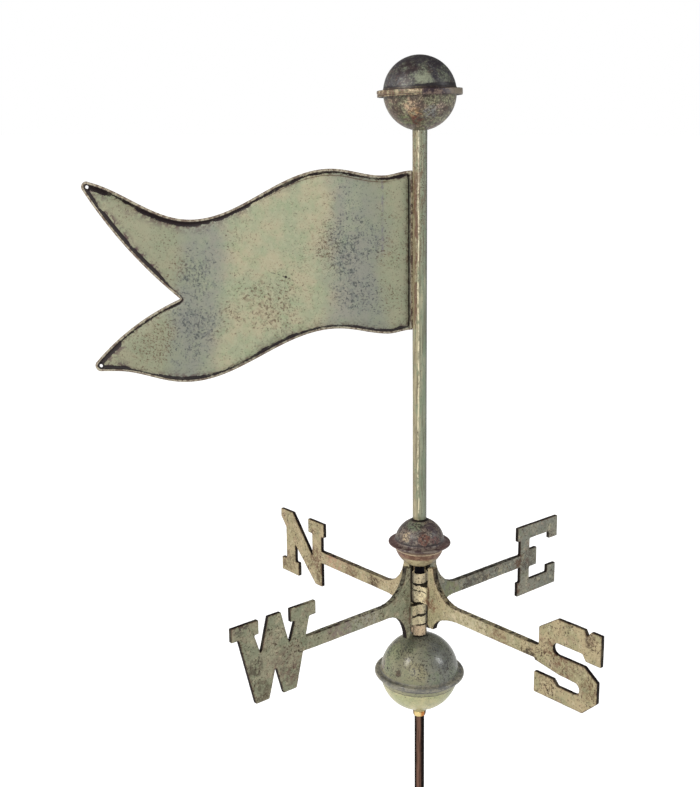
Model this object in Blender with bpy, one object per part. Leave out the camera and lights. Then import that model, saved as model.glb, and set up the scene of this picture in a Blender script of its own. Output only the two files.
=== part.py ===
"""A weathervane: a swallow-tailed flag on a tube that turns on a rod, over four cast directionals.

Metres, +Z up. The origin is the centre of the rod's flat lower end, and the rod's axis is Z.
The flag flies towards -X, and +Y is behind it.
"""

import math

import bmesh
import bpy
from mathutils import Matrix, Vector
from mathutils.geometry import delaunay_2d_cdt

# Fits
TOUCHING_GAP = 0.0003
RUNNING_GAP = 0.0006

# Rod, and the brass ferrule that holds the lower ball up on it
ROD_DIA = 0.01275
ROD_END_CHAMFER = 0.0010
FERRULE_DIA = 0.0172
FERRULE_LENGTH = 0.0126
FERRULE_NOSE = 0.0055

# Balls, each of two spun domes with a rim where they meet
LOWER_BALL_DIA = 0.1016
LOWER_BALL_HEIGHT = 0.1905
LOWER_BEAD_DIA = 0.1168
LOWER_BEAD_THICK = 0.0064
LOWER_BALL_LEAN = 2.2
SMALL_BALL_DIA = 0.0632
SMALL_FLANGE_DIA = 0.0790
SMALL_FLANGE_ROOT = 0.0070
SMALL_FLANGE_EDGE = 0.0022
SMALL_BALL_LEAN = 1.7
BARE_ROD = 0.0094
TOP_BALL_DIA = 0.0864
TOP_RIM_DIA = 0.1008
TOP_RIM_HEIGHT = 0.0078
TOP_RIM_WALL = 0.0022
TOP_BALL_LEAN = -2.2

# Vane tube, closed at its upper end, which rests on the rod's tip
TUBE_DIA = 0.0177
TUBE_SHOWN = 0.479
TUBE_IN_BALL = 0.030
TUBE_CAP = 0.006

# Directionals: letter, bar arm, gusset blade and an eye round the rod, cast as one
FIRST_ARM_TURN = 43.1
ARM_REACH = 0.1850
ARM_ABOVE_BALL = 0.0486
ARM_HEIGHT = 0.0175
ARM_THICK = 0.0080
LETTER_THICK = 0.0058
BAR_END_SHARE = 0.9
LETTER_TOP = 0.0500
EYE_DIA = 0.0190
EYE_GROOVE = 0.0008
NECK_THICK = 0.0120
BLADE_INSET = 0.0190
REAR_BLADE_GAP = 0.0015
BLADE_TIP = 0.0070
SOUTH_BLADE_TIP = 0.0100
BLADE_CLEARANCE = 0.0020
BLADE_DROP = 0.0450
WEST_BLADE_DROP = 0.0465
SOUTH_BLADE_DROP = 0.0320
UPPER_FILLET = 0.0400
LOWER_FILLET = 0.0300
SOUTH_LOWER_FILLET = 0.0450
NORTH_FARTHER = 0.0090
WEST_NEARER = 0.0155
SOUTH_FARTHER = 0.0127
BAR_LAP = 0.0150
NORTH_LAP = 0.0170
WEST_LAP = 0.0290
NORTH_EYE_HEIGHT = 0.0169
WEST_EYE_HEIGHT = 0.0293
SOUTH_EYE_HEIGHT = 0.0251
EAST_EYE_HEIGHT = 0.0138

# Letters, whose outlines are drawn LETTER_UNITS units tall
LETTER_HEIGHT = 0.1015
LETTER_UNITS = 101.5
NORTH_UNITS = 95.0
SERIF_UNITS = 20.5
STEM_UNITS = 21.0

# Flag of two stamped shells, seamed round the edge
FLAG_DROP = 0.1413
HOIST = 0.1910
SEAM_WIDTH = 0.0037
SEAM_THICK = 0.0016
SHELL_SWELL = 0.0068
SHELL_SHOULDER = 0.0120
RIPPLE = 0.0012
TIP_HOLE_DIA = 0.0042

ROUND_SIDES = 32
SMALL_ROUND_SIDES = 24
DOME_STEPS = 6
FILLET_STEPS = 7
TIP_STEPS = 6
EDGE_STEP = 0.011
INNER_STEP = 0.024

# Heights that follow from the stack on the rod
ROD_BORE = ROD_DIA + 2 * TOUCHING_GAP
TUBE_BORE = ROD_DIA + 2 * RUNNING_GAP


def sphere_height(ball_dia, radius):
    """Height above a ball's centre of its surface at a distance from the axis."""
    return math.sqrt((ball_dia / 2) ** 2 - radius**2)


EYE_STACK_Z = LOWER_BALL_HEIGHT + sphere_height(LOWER_BALL_DIA, ROD_BORE / 2) + TOUCHING_GAP
ARM_Z = LOWER_BALL_HEIGHT + LOWER_BALL_DIA / 2 + ARM_ABOVE_BALL

# Height of each eye, from the lowest up
EYES = {"n": NORTH_EYE_HEIGHT, "w": WEST_EYE_HEIGHT, "s": SOUTH_EYE_HEIGHT, "e": EAST_EYE_HEIGHT}
EYE_STACK = sum(EYES.values()) + (len(EYES) - 1) * TOUCHING_GAP

# The E and N blades come close to the eyes
REAR_BLADE_INSET = EYE_DIA / 2 + REAR_BLADE_GAP

SMALL_BALL_Z = EYE_STACK_Z + EYE_STACK + BARE_ROD + SMALL_BALL_DIA / 2
TUBE_Z = SMALL_BALL_Z + sphere_height(SMALL_BALL_DIA, TUBE_BORE / 2) + TOUCHING_GAP
TOP_BALL_Z = TUBE_Z + TUBE_SHOWN + TOP_BALL_DIA / 2
TUBE_TOP_Z = TUBE_Z + TUBE_SHOWN + TUBE_IN_BALL
ROD_LENGTH = TUBE_TOP_Z - TUBE_CAP - TOUCHING_GAP
FLAG_Z = TUBE_Z + TUBE_SHOWN - FLAG_DROP


def under_ball(inset):
    """Height over the arms at which a blade clears the small ball, at a distance from the axis."""
    return SMALL_BALL_Z - sphere_height(SMALL_BALL_DIA, inset) - BLADE_CLEARANCE - ARM_Z


def finish(name, colour, roughness, metallic):
    """A plain material for one piece."""
    material = bpy.data.materials.new(name)
    material.use_nodes = True
    shader = material.node_tree.nodes["Principled BSDF"]
    shader.inputs["Base Color"].default_value = (*colour, 1.0)
    shader.inputs["Roughness"].default_value = roughness
    shader.inputs["Metallic"].default_value = metallic
    return material


def piece(name, mesh_maker, material=None):
    """An object whose mesh is what mesh_maker fills in, with its faces pointing outwards."""
    mesh = bpy.data.meshes.new(name)
    shape = bmesh.new()
    mesh_maker(shape)
    bmesh.ops.recalc_face_normals(shape, faces=shape.faces)
    shape.to_mesh(mesh)
    shape.free()
    mesh.set_sharp_from_angle(angle=math.radians(35))
    made = bpy.data.objects.new(name, mesh)
    bpy.context.collection.objects.link(made)
    if material:
        mesh.materials.append(material)
    else:
        made.hide_render = True
        made.display_type = "WIRE"
    return made


def combine(body, tool, operation):
    """A Boolean of one object with a helper."""
    modifier = body.modifiers.new(tool.name, "BOOLEAN")
    modifier.object = tool
    modifier.operation = operation
    modifier.solver = "EXACT"


def turned(profile, sides, lean=0.0, centre_z=0.0):
    """A mesh maker: a (radius, height) profile turned round Z, a ring where it keeps off the axis."""
    on_axis = profile[0][0] == 0.0

    def fill(shape):
        rings = []
        for radius, height in profile:
            if radius == 0.0:
                rings.append([shape.verts.new((0, 0, height))])
                continue
            ring = []
            for side in range(sides):
                angle = math.tau * side / sides
                ring.append(shape.verts.new((radius * math.cos(angle), radius * math.sin(angle), height)))
            rings.append(ring)
        pairs = list(zip(rings, rings[1:]))
        if not on_axis:
            pairs.append((rings[-1], rings[0]))
        for upper, lower in pairs:
            for side in range(sides):
                after = (side + 1) % sides
                corners = [upper[side % len(upper)], upper[after % len(upper)]]
                corners += [lower[after % len(lower)], lower[side % len(lower)]]
                shape.faces.new(list(dict.fromkeys(corners)))
        place = Matrix.Translation((0, 0, centre_z)) @ Matrix.Rotation(math.radians(lean), 4, "Y")
        bmesh.ops.transform(shape, matrix=place, verts=shape.verts)

    return fill


def plate(outline, thick, end_thick=None):
    """A mesh maker: an (along, up) outline as a flat plate on the XZ plane.

    With end_thick, the outline's first four points are a bar's end, which thins to end_thick at its far side.
    """
    far = max(along for along, _ in outline)

    def fill(shape):
        layers = []
        for side in (-1, 1):
            verts = []
            for along, up in outline:
                local = end_thick if end_thick and along == far else thick
                verts.append(shape.verts.new((along, side * local / 2, up)))
            layers.append(verts)
            if end_thick:
                shape.faces.new(verts[:4])
                shape.faces.new(verts[:1] + verts[3:])
            else:
                shape.faces.new(verts)
        front, back = layers
        for index in range(len(outline)):
            shape.faces.new([front[index], front[index - 1], back[index - 1], back[index]])

    return fill


def drum(radius, low, high):
    """The profile of a solid cylinder."""
    return [(0.0, high), (radius, high), (radius, low), (0.0, low)]


def domed(ball_dia, rim):
    """The profile of a ball whose rim's (radius, height) points run from the upper dome to the lower one."""
    radius = ball_dia / 2
    upper_end = math.asin(rim[0][1] / radius)
    lower_end = math.asin(rim[-1][1] / radius)
    points = [(0.0, radius)]
    for step in range(1, DOME_STEPS + 1):
        angle = math.pi / 2 + (upper_end - math.pi / 2) * step / DOME_STEPS
        points.append((radius * math.cos(angle), radius * math.sin(angle)))
    points += rim[1:-1]
    for step in range(DOME_STEPS):
        angle = lower_end + (-math.pi / 2 - lower_end) * step / DOME_STEPS
        points.append((radius * math.cos(angle), radius * math.sin(angle)))
    return points + [(0.0, -radius)]


def bead_rim():
    """Rim of the lower ball: a rolled bead, with a small step under it."""
    half = LOWER_BEAD_THICK / 2
    edge = LOWER_BEAD_DIA / 2
    root = LOWER_BALL_DIA / 2
    middle = edge - half
    rim = [(root, half)]
    for step in range(5):
        angle = math.radians(80 - 40 * step)
        rim.append((middle + half * math.cos(angle), half * math.sin(angle)))
    return rim + [(root + half / 3, -half), (root + half / 5, -1.6 * half), (root, -1.7 * half)]


def flange_rim():
    """Rim of the small ball: a flange that thins towards its edge."""
    root = SMALL_BALL_DIA / 2
    edge = SMALL_FLANGE_DIA / 2
    knee = root + (edge - root) / 3
    thick = SMALL_FLANGE_EDGE / 2
    sides = [(root, SMALL_FLANGE_ROOT / 2), (knee, 1.7 * thick), (edge - thick / 2, thick), (edge, thick / 2)]
    return sides + [(radius, -height) for radius, height in reversed(sides)]


def folded_rim():
    """Rim of the top ball: folded out and down, open beneath."""
    root = TOP_BALL_DIA / 2
    edge = TOP_RIM_DIA / 2
    half = TOP_RIM_HEIGHT / 2
    inner = edge - TOP_RIM_WALL
    return [
        (root, half),
        (edge - TOP_RIM_WALL / 2, half),
        (edge, half - TOP_RIM_WALL / 2),
        (edge, -half),
        (inner, -half),
        (inner, -half / 3),
        (root + TOUCHING_GAP, -half / 3),
        (root, -half / 2),
    ]


def ball(name, profile, lean, centre_z, bore, low, high, material):
    """A ball that leans a little on the rod, with a plumb bore from low to high."""
    made = piece(name, turned(profile, ROUND_SIDES, lean, centre_z), material)
    cutter = piece(name + "_bore", turned(drum(bore / 2, low, high), SMALL_ROUND_SIDES))
    combine(made, cutter, "DIFFERENCE")
    return made


def wave(turns):
    """Heights along a wavy edge, which eases from each turning point to the next."""

    def height(along):
        for (start, first), (end, last) in zip(turns, turns[1:]):
            if along <= end:
                share = (along - start) / (end - start)
                return (first + last) / 2 + (first - last) / 2 * math.cos(math.pi * share)
        return turns[-1][1]

    return height


def bowed(start, end, bow, steps):
    """Points from start to end on a line that bows to its left, without its two ends."""
    start, end = Vector(start), Vector(end)
    run = end - start
    side = Vector((-run.y, run.x)).normalized()
    shares = [step / steps for step in range(1, steps)]
    return [tuple(start + run * share + side * bow * 4 * share * (1 - share)) for share in shares]


def arc(centre, radius, first, last, steps):
    """Points of an arc between two angles in degrees, its ends among them."""
    points = []
    for step in range(steps + 1):
        angle = math.radians(first + (last - first) * step / steps)
        points.append((centre[0] + radius * math.cos(angle), centre[1] + radius * math.sin(angle)))
    return points


# Flag outline, as distance from the hoist and height over the hoist's middle
FLAG_TOP = [(0.0, HOIST / 2), (0.036, 0.0896), (0.096, 0.0974), (0.266, 0.0374), (0.405, 0.0840)]
FLAG_BOTTOM = [(0.0, -HOIST / 2), (0.030, -0.1005), (0.088, -0.0942), (0.280, -0.1612), (0.362, -0.1476)]
UPPER_TIP = (0.3858, 0.0755)
LOWER_TIP = (0.3818, -0.1408)
NOTCH = (0.2810, -0.0580)
TAIL_BOW = 0.0070
UPPER_TIP_RADIUS = 0.0068
LOWER_TIP_RADIUS = 0.0070
FLAG_START = TUBE_DIA / 2 + TOUCHING_GAP


def flag_outline():
    """The flag's outline, along the upper edge, round the tails and back along the lower edge."""
    top = wave(FLAG_TOP)
    bottom = wave(FLAG_BOTTOM)
    steps = round(UPPER_TIP[0] / EDGE_STEP)
    upper_edge = [UPPER_TIP[0] * step / steps for step in range(steps)]
    points = [(along, top(along)) for along in upper_edge]
    upper_arc = arc(UPPER_TIP, UPPER_TIP_RADIUS, 86, -34, TIP_STEPS)
    lower_arc = arc(LOWER_TIP, LOWER_TIP_RADIUS, 46, -86, TIP_STEPS)
    tail_steps = round((Vector(UPPER_TIP) - Vector(NOTCH)).length / EDGE_STEP)
    points += upper_arc + bowed(upper_arc[-1], NOTCH, TAIL_BOW, tail_steps) + [NOTCH]
    tail_steps = round((Vector(LOWER_TIP) - Vector(NOTCH)).length / EDGE_STEP)
    points += bowed(NOTCH, lower_arc[0], TAIL_BOW, tail_steps) + lower_arc
    steps = round(LOWER_TIP[0] / EDGE_STEP)
    lower_edge = [LOWER_TIP[0] * step / steps for step in range(steps - 1, -1, -1)]
    points += [(along, bottom(along)) for along in lower_edge]
    hoist_steps = round(HOIST / EDGE_STEP)
    points += [(0.0, HOIST * (step / hoist_steps - 0.5)) for step in range(1, hoist_steps)]
    return points


def edge_distance(point, outline):
    """Distance from a point to the nearest side of a closed outline."""
    nearest = math.inf
    for start, end in zip(outline, outline[1:] + outline[:1]):
        run = (end[0] - start[0], end[1] - start[1])
        to_point = (point[0] - start[0], point[1] - start[1])
        share = (to_point[0] * run[0] + to_point[1] * run[1]) / (run[0] ** 2 + run[1] ** 2)
        share = min(1.0, max(0.0, share))
        nearest = min(nearest, math.hypot(to_point[0] - run[0] * share, to_point[1] - run[1] * share))
    return nearest


def inside(point, outline):
    """Whether a point lies within a closed outline."""
    within = False
    for start, end in zip(outline, outline[1:] + outline[:1]):
        if (start[1] > point[1]) != (end[1] > point[1]):
            crossing = start[0] + (end[0] - start[0]) * (point[1] - start[1]) / (end[1] - start[1])
            if point[0] < crossing:
                within = not within
    return within


def offset_points(outline, depth):
    """Points at one depth inside the outline, leaving out those that another side crowds."""
    found = []
    for before, here, after in zip(outline[-1:] + outline[:-1], outline, outline[1:] + outline[:1]):
        run = Vector((after[0] - before[0], after[1] - before[1])).normalized()
        point = (here[0] + run.y * depth, here[1] - run.x * depth)
        if inside(point, outline) and edge_distance(point, outline) > 0.97 * depth:
            if all(math.dist(point, other) > 0.4 * EDGE_STEP for other in found):
                found.append(point)
    return found


def shell_half_thickness(along, depth):
    """Half the thickness at a depth inside the outline: flat seam, rounded shoulder, gentle ripples."""
    share = min(1.0, max(0.0, (depth - SEAM_WIDTH) / SHELL_SHOULDER))
    rounded = math.sqrt(1 - (1 - share) ** 2)
    crest, trough = FLAG_TOP[2][0], FLAG_TOP[3][0]
    ripple = RIPPLE * math.cos(math.pi * (along - crest) / (trough - crest) + math.pi / 4)
    return SEAM_THICK / 2 + (SHELL_SWELL + ripple * share) * rounded


def flag_shell(shape):
    """Mesh maker for the flag: a triangulated sheet, thickened by depth, with its two tip holes."""
    outline = flag_outline()
    holes = [arc(tip, TIP_HOLE_DIA / 2, 0, 330, 11) for tip in (UPPER_TIP, LOWER_TIP)]
    depths = [SEAM_WIDTH, SEAM_WIDTH + 0.1 * SHELL_SHOULDER, SEAM_WIDTH + 0.4 * SHELL_SHOULDER]
    depths.append(SEAM_WIDTH + SHELL_SHOULDER)
    loose = []
    for depth in depths:
        for point in offset_points(outline, depth):
            if all(math.dist(point, tip) > TIP_HOLE_DIA for tip in (UPPER_TIP, LOWER_TIP)):
                loose.append(point)
    low = min(up for _, up in outline)
    high = max(up for _, up in outline)
    reach = max(along for along, _ in outline)
    for column in range(1, int(reach / INNER_STEP) + 1):
        for row in range(int((high - low) / INNER_STEP) + 1):
            point = (column * INNER_STEP, low + row * INNER_STEP)
            if inside(point, outline) and edge_distance(point, outline) > depths[-1] + 0.3 * INNER_STEP:
                loose.append(point)
    points = list(outline)
    sides = [(index, (index + 1) % len(outline)) for index in range(len(outline))]
    for hole in holes:
        first = len(points)
        points += hole
        sides += [(first + index, first + (index + 1) % len(hole)) for index in range(len(hole))]
    points += loose
    made, _, triangles, _, _, _ = delaunay_2d_cdt([Vector(point) for point in points], sides, [], 1, 1e-7)
    depth_at = [edge_distance(point, outline) for point in made]
    near_hole = [min(math.dist(point, tip) for tip in (UPPER_TIP, LOWER_TIP)) for point in made]
    layers = []
    for side in (-1, 1):
        layer = []
        for point, depth, hole_gap in zip(made, depth_at, near_hole):
            half = SEAM_THICK / 2 if hole_gap < TIP_HOLE_DIA else shell_half_thickness(point.x, depth)
            layer.append(shape.verts.new((-FLAG_START - point.x, side * half, FLAG_Z + point.y)))
        layers.append(layer)
    uses = {}
    for triangle in triangles:
        middle = sum((made[index] for index in triangle), Vector((0, 0))) / 3
        if not inside(middle, outline) or any(inside(middle, hole) for hole in holes):
            continue
        for layer in layers:
            shape.faces.new([layer[index] for index in triangle])
        for index in range(3):
            edge = frozenset((triangle[index], triangle[index - 1]))
            uses[edge] = uses.get(edge, 0) + 1
    for edge, count in uses.items():
        if count == 1:
            first, last = edge
            shape.faces.new([layers[0][first], layers[0][last], layers[1][last], layers[1][first]])
    bmesh.ops.delete(shape, geom=[vert for vert in shape.verts if not vert.link_faces], context="VERTS")


# Each letter's outline starts at its lower left as it is read, with its foot at height 0.
def drawn(outline):
    """An outline in letter units, as metres."""
    unit = LETTER_HEIGHT / LETTER_UNITS
    return [(along * unit, up * unit) for along, up in outline]


def letter_n():
    """Slab-serif N, with no foot serif on its right stem."""
    width, height = 100.0, NORTH_UNITS
    left, right = 11.5, 94.0
    foot_end, head_start = 40.0, 64.0
    heel, crown = 79.0, 28.0
    lower_slope, upper_slope = 1.01, 1.22
    left_end, right_start = left + STEM_UNITS, right - STEM_UNITS
    under_head = height - SERIF_UNITS
    return drawn([
        (0.0, 0.0),
        (foot_end, 0.0),
        (foot_end, SERIF_UNITS),
        (left_end, SERIF_UNITS),
        (left_end, (heel - left_end) * lower_slope),
        (heel, 0.0),
        (right, 0.0),
        (right, under_head),
        (width, under_head),
        (width, height),
        (head_start, height),
        (head_start, under_head),
        (right_start, under_head),
        (right_start, height - (right_start - crown) * upper_slope),
        (crown, height),
        (0.0, height),
        (0.0, height - 0.6 * SERIF_UNITS),
        (left, height - 1.3 * SERIF_UNITS),
        (left, SERIF_UNITS),
        (0.0, SERIF_UNITS),
    ])


def letter_e():
    """Slab-serif E with a short, tall middle bar."""
    width, height = 84.0, LETTER_UNITS
    foot_width = 81.5
    left = 5.5
    left_end = left + 0.93 * STEM_UNITS
    terminal, foot_rise, head_drop = 18.0, 30.5, 31.0
    bar_low, bar_high, bar_end = 38.5, 65.0, 40.0
    under_head = height - SERIF_UNITS
    return drawn([
        (0.0, 0.0),
        (foot_width, 0.0),
        (foot_width, foot_rise),
        (foot_width - terminal, foot_rise),
        (foot_width - terminal, SERIF_UNITS),
        (left_end, SERIF_UNITS),
        (left_end, bar_low),
        (bar_end, bar_low),
        (bar_end, bar_high),
        (left_end, bar_high),
        (left_end, under_head),
        (width - terminal, under_head),
        (width - terminal, height - head_drop),
        (width, height - head_drop),
        (width, height),
        (0.0, height),
        (0.0, under_head),
        (left, under_head),
        (left, SERIF_UNITS),
        (0.0, SERIF_UNITS),
    ])


def letter_w():
    """Slab-serif W with a broad flat centre peak."""
    half, height = 59.0, LETTER_UNITS
    under_head = height - 17.0
    crotch, peak = 59.0, 9.0
    right_half = [
        (0.0, 37.0),
        (10.0, 0.0),
        (29.0, 0.0),
        (49.5, under_head),
        (half, under_head),
        (half, height),
        (22.0, height),
        (22.0, under_head),
        (28.5, under_head),
        (20.0, crotch),
        (peak, height),
    ]
    left_half = [(-along, up) for along, up in reversed(right_half[1:])]
    return drawn([(half + along, up) for along, up in right_half + left_half])


def letter_s():
    """Chamfered block S with round-ended slots."""
    width, height = 96.0, LETTER_UNITS
    slot = 14.0
    upper, lower = (34.5, 64.5), (60.0, 26.2)
    outline = [(0.0, 0.0), (72.0, 0.0), (92.0, 18.5), (92.0, 44.0), (73.0, 57.5)]
    outline += arc(upper, slot / 2, 270, 90, FILLET_STEPS)
    outline += [(70.0, upper[1] + slot / 2), (74.5, 64.0), (width, 64.0), (width, height)]
    outline += [(81.0, height), (76.0, height - 7.0), (72.0, height), (33.0, height)]
    outline += [(6.0, height - 18.0), (6.0, 56.0), (0.0, 40.0), (37.0, lower[1] + 8.0)]
    outline += arc(lower, slot / 2, 80, -90, FILLET_STEPS)
    return drawn(outline + [(35.0, lower[1] - slot / 2), (28.5, 26.0), (0.0, 26.0)])


# Each: quarter turn from E, outline, inner radius of the letter, lap of the bar on it
DIRECTIONALS = {
    "e": (0, letter_e, ARM_REACH, BAR_LAP),
    "n": (1, letter_n, ARM_REACH + NORTH_FARTHER, NORTH_LAP),
    "w": (2, letter_w, ARM_REACH - WEST_NEARER, WEST_LAP),
    "s": (3, letter_s, ARM_REACH + SOUTH_FARTHER, BAR_LAP),
}
# Each blade: inset of its inner edge from the axis, width of its tip, drop of its foot, lower fillet
BLADES = {
    "e": (REAR_BLADE_INSET, BLADE_TIP, BLADE_DROP, LOWER_FILLET),
    "n": (REAR_BLADE_INSET, BLADE_TIP, BLADE_DROP, LOWER_FILLET),
    "w": (BLADE_INSET, BLADE_TIP, WEST_BLADE_DROP, LOWER_FILLET),
    "s": (BLADE_INSET, SOUTH_BLADE_TIP, SOUTH_BLADE_DROP, SOUTH_LOWER_FILLET),
}
READ_INWARDS = ("n", "w")


def arm_outline(inner_radius, lap, blade):
    """Blade and bar: a tall inner edge with concave fillets down to a straight bar that laps the letter."""
    inset, tip, drop, lower_fillet = blade
    rise = under_ball(BLADE_INSET)
    half = ARM_HEIGHT / 2
    blade_end = BLADE_INSET + tip
    reach = inner_radius + lap
    thinning = inner_radius - LETTER_THICK
    outline = [(thinning, -half), (reach, -half), (reach, half), (thinning, half)]
    for step in range(FILLET_STEPS + 1):
        angle = math.pi / 2 * step / FILLET_STEPS
        along = blade_end + UPPER_FILLET * (1 - math.sin(angle))
        outline.append((along, rise - (rise - half) * math.cos(angle)))
    outline.append((BLADE_INSET, rise - BLADE_TIP / 4))
    if inset < BLADE_INSET:
        outline.append((inset, under_ball(inset)))
    outline += [(inset, BLADE_TIP / 2 - drop), (inset + BLADE_TIP / 2, -drop)]
    for step in range(FILLET_STEPS, -1, -1):
        angle = math.pi / 2 * step / FILLET_STEPS
        along = blade_end + lower_fillet * (1 - math.sin(angle))
        outline.append((along, -drop + (drop - half) * math.cos(angle)))
    return [(along, ARM_Z + up) for along, up in outline]


def directional(key, material):
    """One casting: the bar carries the letter at one end and the blade, neck and eye at the other."""
    quarter, letter, inner_radius, lap = DIRECTIONALS[key]
    outline = letter()
    width = max(along for along, _ in outline)
    height = max(up for _, up in outline)
    foot = ARM_Z + LETTER_TOP - height
    if key in READ_INWARDS:
        placed = [(inner_radius + width - along, foot + up) for along, up in outline]
    else:
        placed = [(inner_radius + along, foot + up) for along, up in outline]
    eye_low = EYE_STACK_Z
    for other, eye_height in EYES.items():
        if other == key:
            break
        eye_low += eye_height + TOUCHING_GAP
    eye_high = eye_low + EYES[key]
    eye_middle = (eye_low + eye_high) / 2
    radius = EYE_DIA / 2
    profile = [(0.0, eye_high), (radius, eye_high), (radius, eye_middle + EYE_GROOVE)]
    profile += [(radius - EYE_GROOVE, eye_middle), (radius, eye_middle - EYE_GROOVE)]
    profile += [(radius, eye_low), (0.0, eye_low)]
    neck_low, neck_high = eye_low + EYE_GROOVE, eye_high - EYE_GROOVE
    neck_end = BLADE_INSET + BLADE_TIP / 3
    neck = [(0.0, neck_low), (neck_end, neck_low), (neck_end, neck_high), (0.0, neck_high)]
    name = "directional_" + key
    bar = plate(arm_outline(inner_radius, lap, BLADES[key]), ARM_THICK, BAR_END_SHARE * LETTER_THICK)
    made = piece(name, bar, material)
    rod_space = drum(ROD_BORE / 2, LOWER_BALL_HEIGHT, SMALL_BALL_Z)
    steps = [
        (piece(name + "_letter", plate(placed, LETTER_THICK)), "UNION"),
        (piece(name + "_neck", plate(neck, NECK_THICK)), "UNION"),
        (piece(name + "_eye", turned(profile, SMALL_ROUND_SIDES)), "UNION"),
        (piece(name + "_bore", turned(rod_space, SMALL_ROUND_SIDES)), "DIFFERENCE"),
    ]
    turn = math.radians(FIRST_ARM_TURN + 90 * quarter)
    made.rotation_euler.z = turn
    for tool, operation in steps:
        tool.rotation_euler.z = turn
        combine(made, tool, operation)
    return made


def build():
    patina = finish("copper_patina", (0.42, 0.45, 0.33), 0.55, 0.2)
    cast_patina = finish("cast_patina", (0.40, 0.39, 0.29), 0.65, 0.1)
    tube_patina = finish("tube_patina", (0.38, 0.42, 0.32), 0.35, 0.3)
    brass = finish("brass", (0.78, 0.55, 0.22), 0.25, 1.0)
    dark_rod = finish("dark_rod", (0.06, 0.045, 0.04), 0.35, 0.6)

    rod_radius = ROD_DIA / 2
    shank = [(0.0, ROD_LENGTH), (rod_radius - ROD_END_CHAMFER, ROD_LENGTH)]
    shank += [(rod_radius, ROD_LENGTH - ROD_END_CHAMFER), (rod_radius, 0.0), (0.0, 0.0)]
    piece("rod", turned(shank, SMALL_ROUND_SIDES), dark_rod)

    bore = ROD_BORE / 2
    ferrule_top = LOWER_BALL_HEIGHT - sphere_height(LOWER_BALL_DIA, bore) - TOUCHING_GAP
    ferrule_foot = ferrule_top - FERRULE_LENGTH
    ferrule = [(bore, ferrule_top), (FERRULE_DIA / 2, ferrule_top)]
    nose = FERRULE_DIA / 2 - bore
    for step in range(4):
        angle = math.pi / 2 * step / 3
        shrink = 0.8 * nose * (1 - math.cos(angle))
        ferrule.append((FERRULE_DIA / 2 - shrink, ferrule_foot + FERRULE_NOSE * (1 - math.sin(angle))))
    ferrule.append((bore, ferrule_foot))
    piece("ferrule", turned(ferrule, SMALL_ROUND_SIDES), brass)

    low, high = LOWER_BALL_HEIGHT - LOWER_BALL_DIA, LOWER_BALL_HEIGHT + LOWER_BALL_DIA
    lower_profile = domed(LOWER_BALL_DIA, bead_rim())
    ball("lower_ball", lower_profile, LOWER_BALL_LEAN, LOWER_BALL_HEIGHT, ROD_BORE, low, high, patina)

    low, high = SMALL_BALL_Z - SMALL_BALL_DIA, SMALL_BALL_Z + SMALL_BALL_DIA
    small_profile = domed(SMALL_BALL_DIA, flange_rim())
    ball("small_ball", small_profile, SMALL_BALL_LEAN, SMALL_BALL_Z, ROD_BORE, low, high, patina)

    for key in DIRECTIONALS:
        directional(key, cast_patina)

    tube_radius = TUBE_DIA / 2
    inner = TUBE_BORE / 2
    blind_end = TUBE_TOP_Z - TUBE_CAP
    tube = [(0.0, TUBE_TOP_Z), (tube_radius, TUBE_TOP_Z), (tube_radius, TUBE_Z), (inner, TUBE_Z)]
    piece("vane_tube", turned(tube + [(inner, blind_end), (0.0, blind_end)], SMALL_ROUND_SIDES), tube_patina)

    socket_end = TUBE_TOP_Z + TOUCHING_GAP
    socket = TUBE_DIA + 2 * TOUCHING_GAP
    low = TOP_BALL_Z - TOP_BALL_DIA
    top_profile = domed(TOP_BALL_DIA, folded_rim())
    ball("top_ball", top_profile, TOP_BALL_LEAN, TOP_BALL_Z, socket, low, socket_end, patina)

    piece("flag", flag_shell, patina)


for leftover in list(bpy.data.objects):
    bpy.data.objects.remove(leftover)
build()
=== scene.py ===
"""Looks of the weathervane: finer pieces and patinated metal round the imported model. Metres, +Z up."""

import math
from functools import reduce

import bmesh
import bpy
import numpy as np
from mathutils import Euler, Matrix, Vector, noise
from mathutils.geometry import delaunay_2d_cdt


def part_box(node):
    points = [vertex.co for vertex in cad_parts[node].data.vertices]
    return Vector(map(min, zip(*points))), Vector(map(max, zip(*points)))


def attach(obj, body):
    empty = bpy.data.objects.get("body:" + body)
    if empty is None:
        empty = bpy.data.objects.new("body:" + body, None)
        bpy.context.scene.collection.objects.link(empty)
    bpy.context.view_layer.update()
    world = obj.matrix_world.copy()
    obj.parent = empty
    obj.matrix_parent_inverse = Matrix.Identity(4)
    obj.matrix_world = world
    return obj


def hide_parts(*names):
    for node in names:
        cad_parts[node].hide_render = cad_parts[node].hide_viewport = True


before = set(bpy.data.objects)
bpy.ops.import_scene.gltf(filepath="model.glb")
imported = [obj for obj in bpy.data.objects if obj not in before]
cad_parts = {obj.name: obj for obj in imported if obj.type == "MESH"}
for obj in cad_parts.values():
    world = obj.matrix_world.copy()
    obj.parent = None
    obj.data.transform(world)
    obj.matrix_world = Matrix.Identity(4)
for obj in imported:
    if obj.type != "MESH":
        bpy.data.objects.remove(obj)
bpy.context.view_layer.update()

# Sizes of the solids, which the finer pieces keep, and the clearance between pieces
GAP = 0.0003
ROD_DIA = 0.01275
FERRULE_DIA = 0.0172
FERRULE_NOSE = 0.0055
LOWER_BALL_DIA, LOWER_BEAD_DIA, LOWER_BEAD_THICK = 0.1016, 0.1168, 0.0064
SMALL_BALL_DIA, SMALL_FLANGE_DIA = 0.0632, 0.0790
TOP_BALL_DIA, TOP_RIM_DIA, TOP_RIM_HEIGHT, TOP_RIM_WALL = 0.0864, 0.1008, 0.0078, 0.0022
LOWER_BALL_Z = 0.1905
TUBE_DIA = 0.0177
TUBE_SHOWN = 0.479
FLAG_DROP = 0.1413
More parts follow.
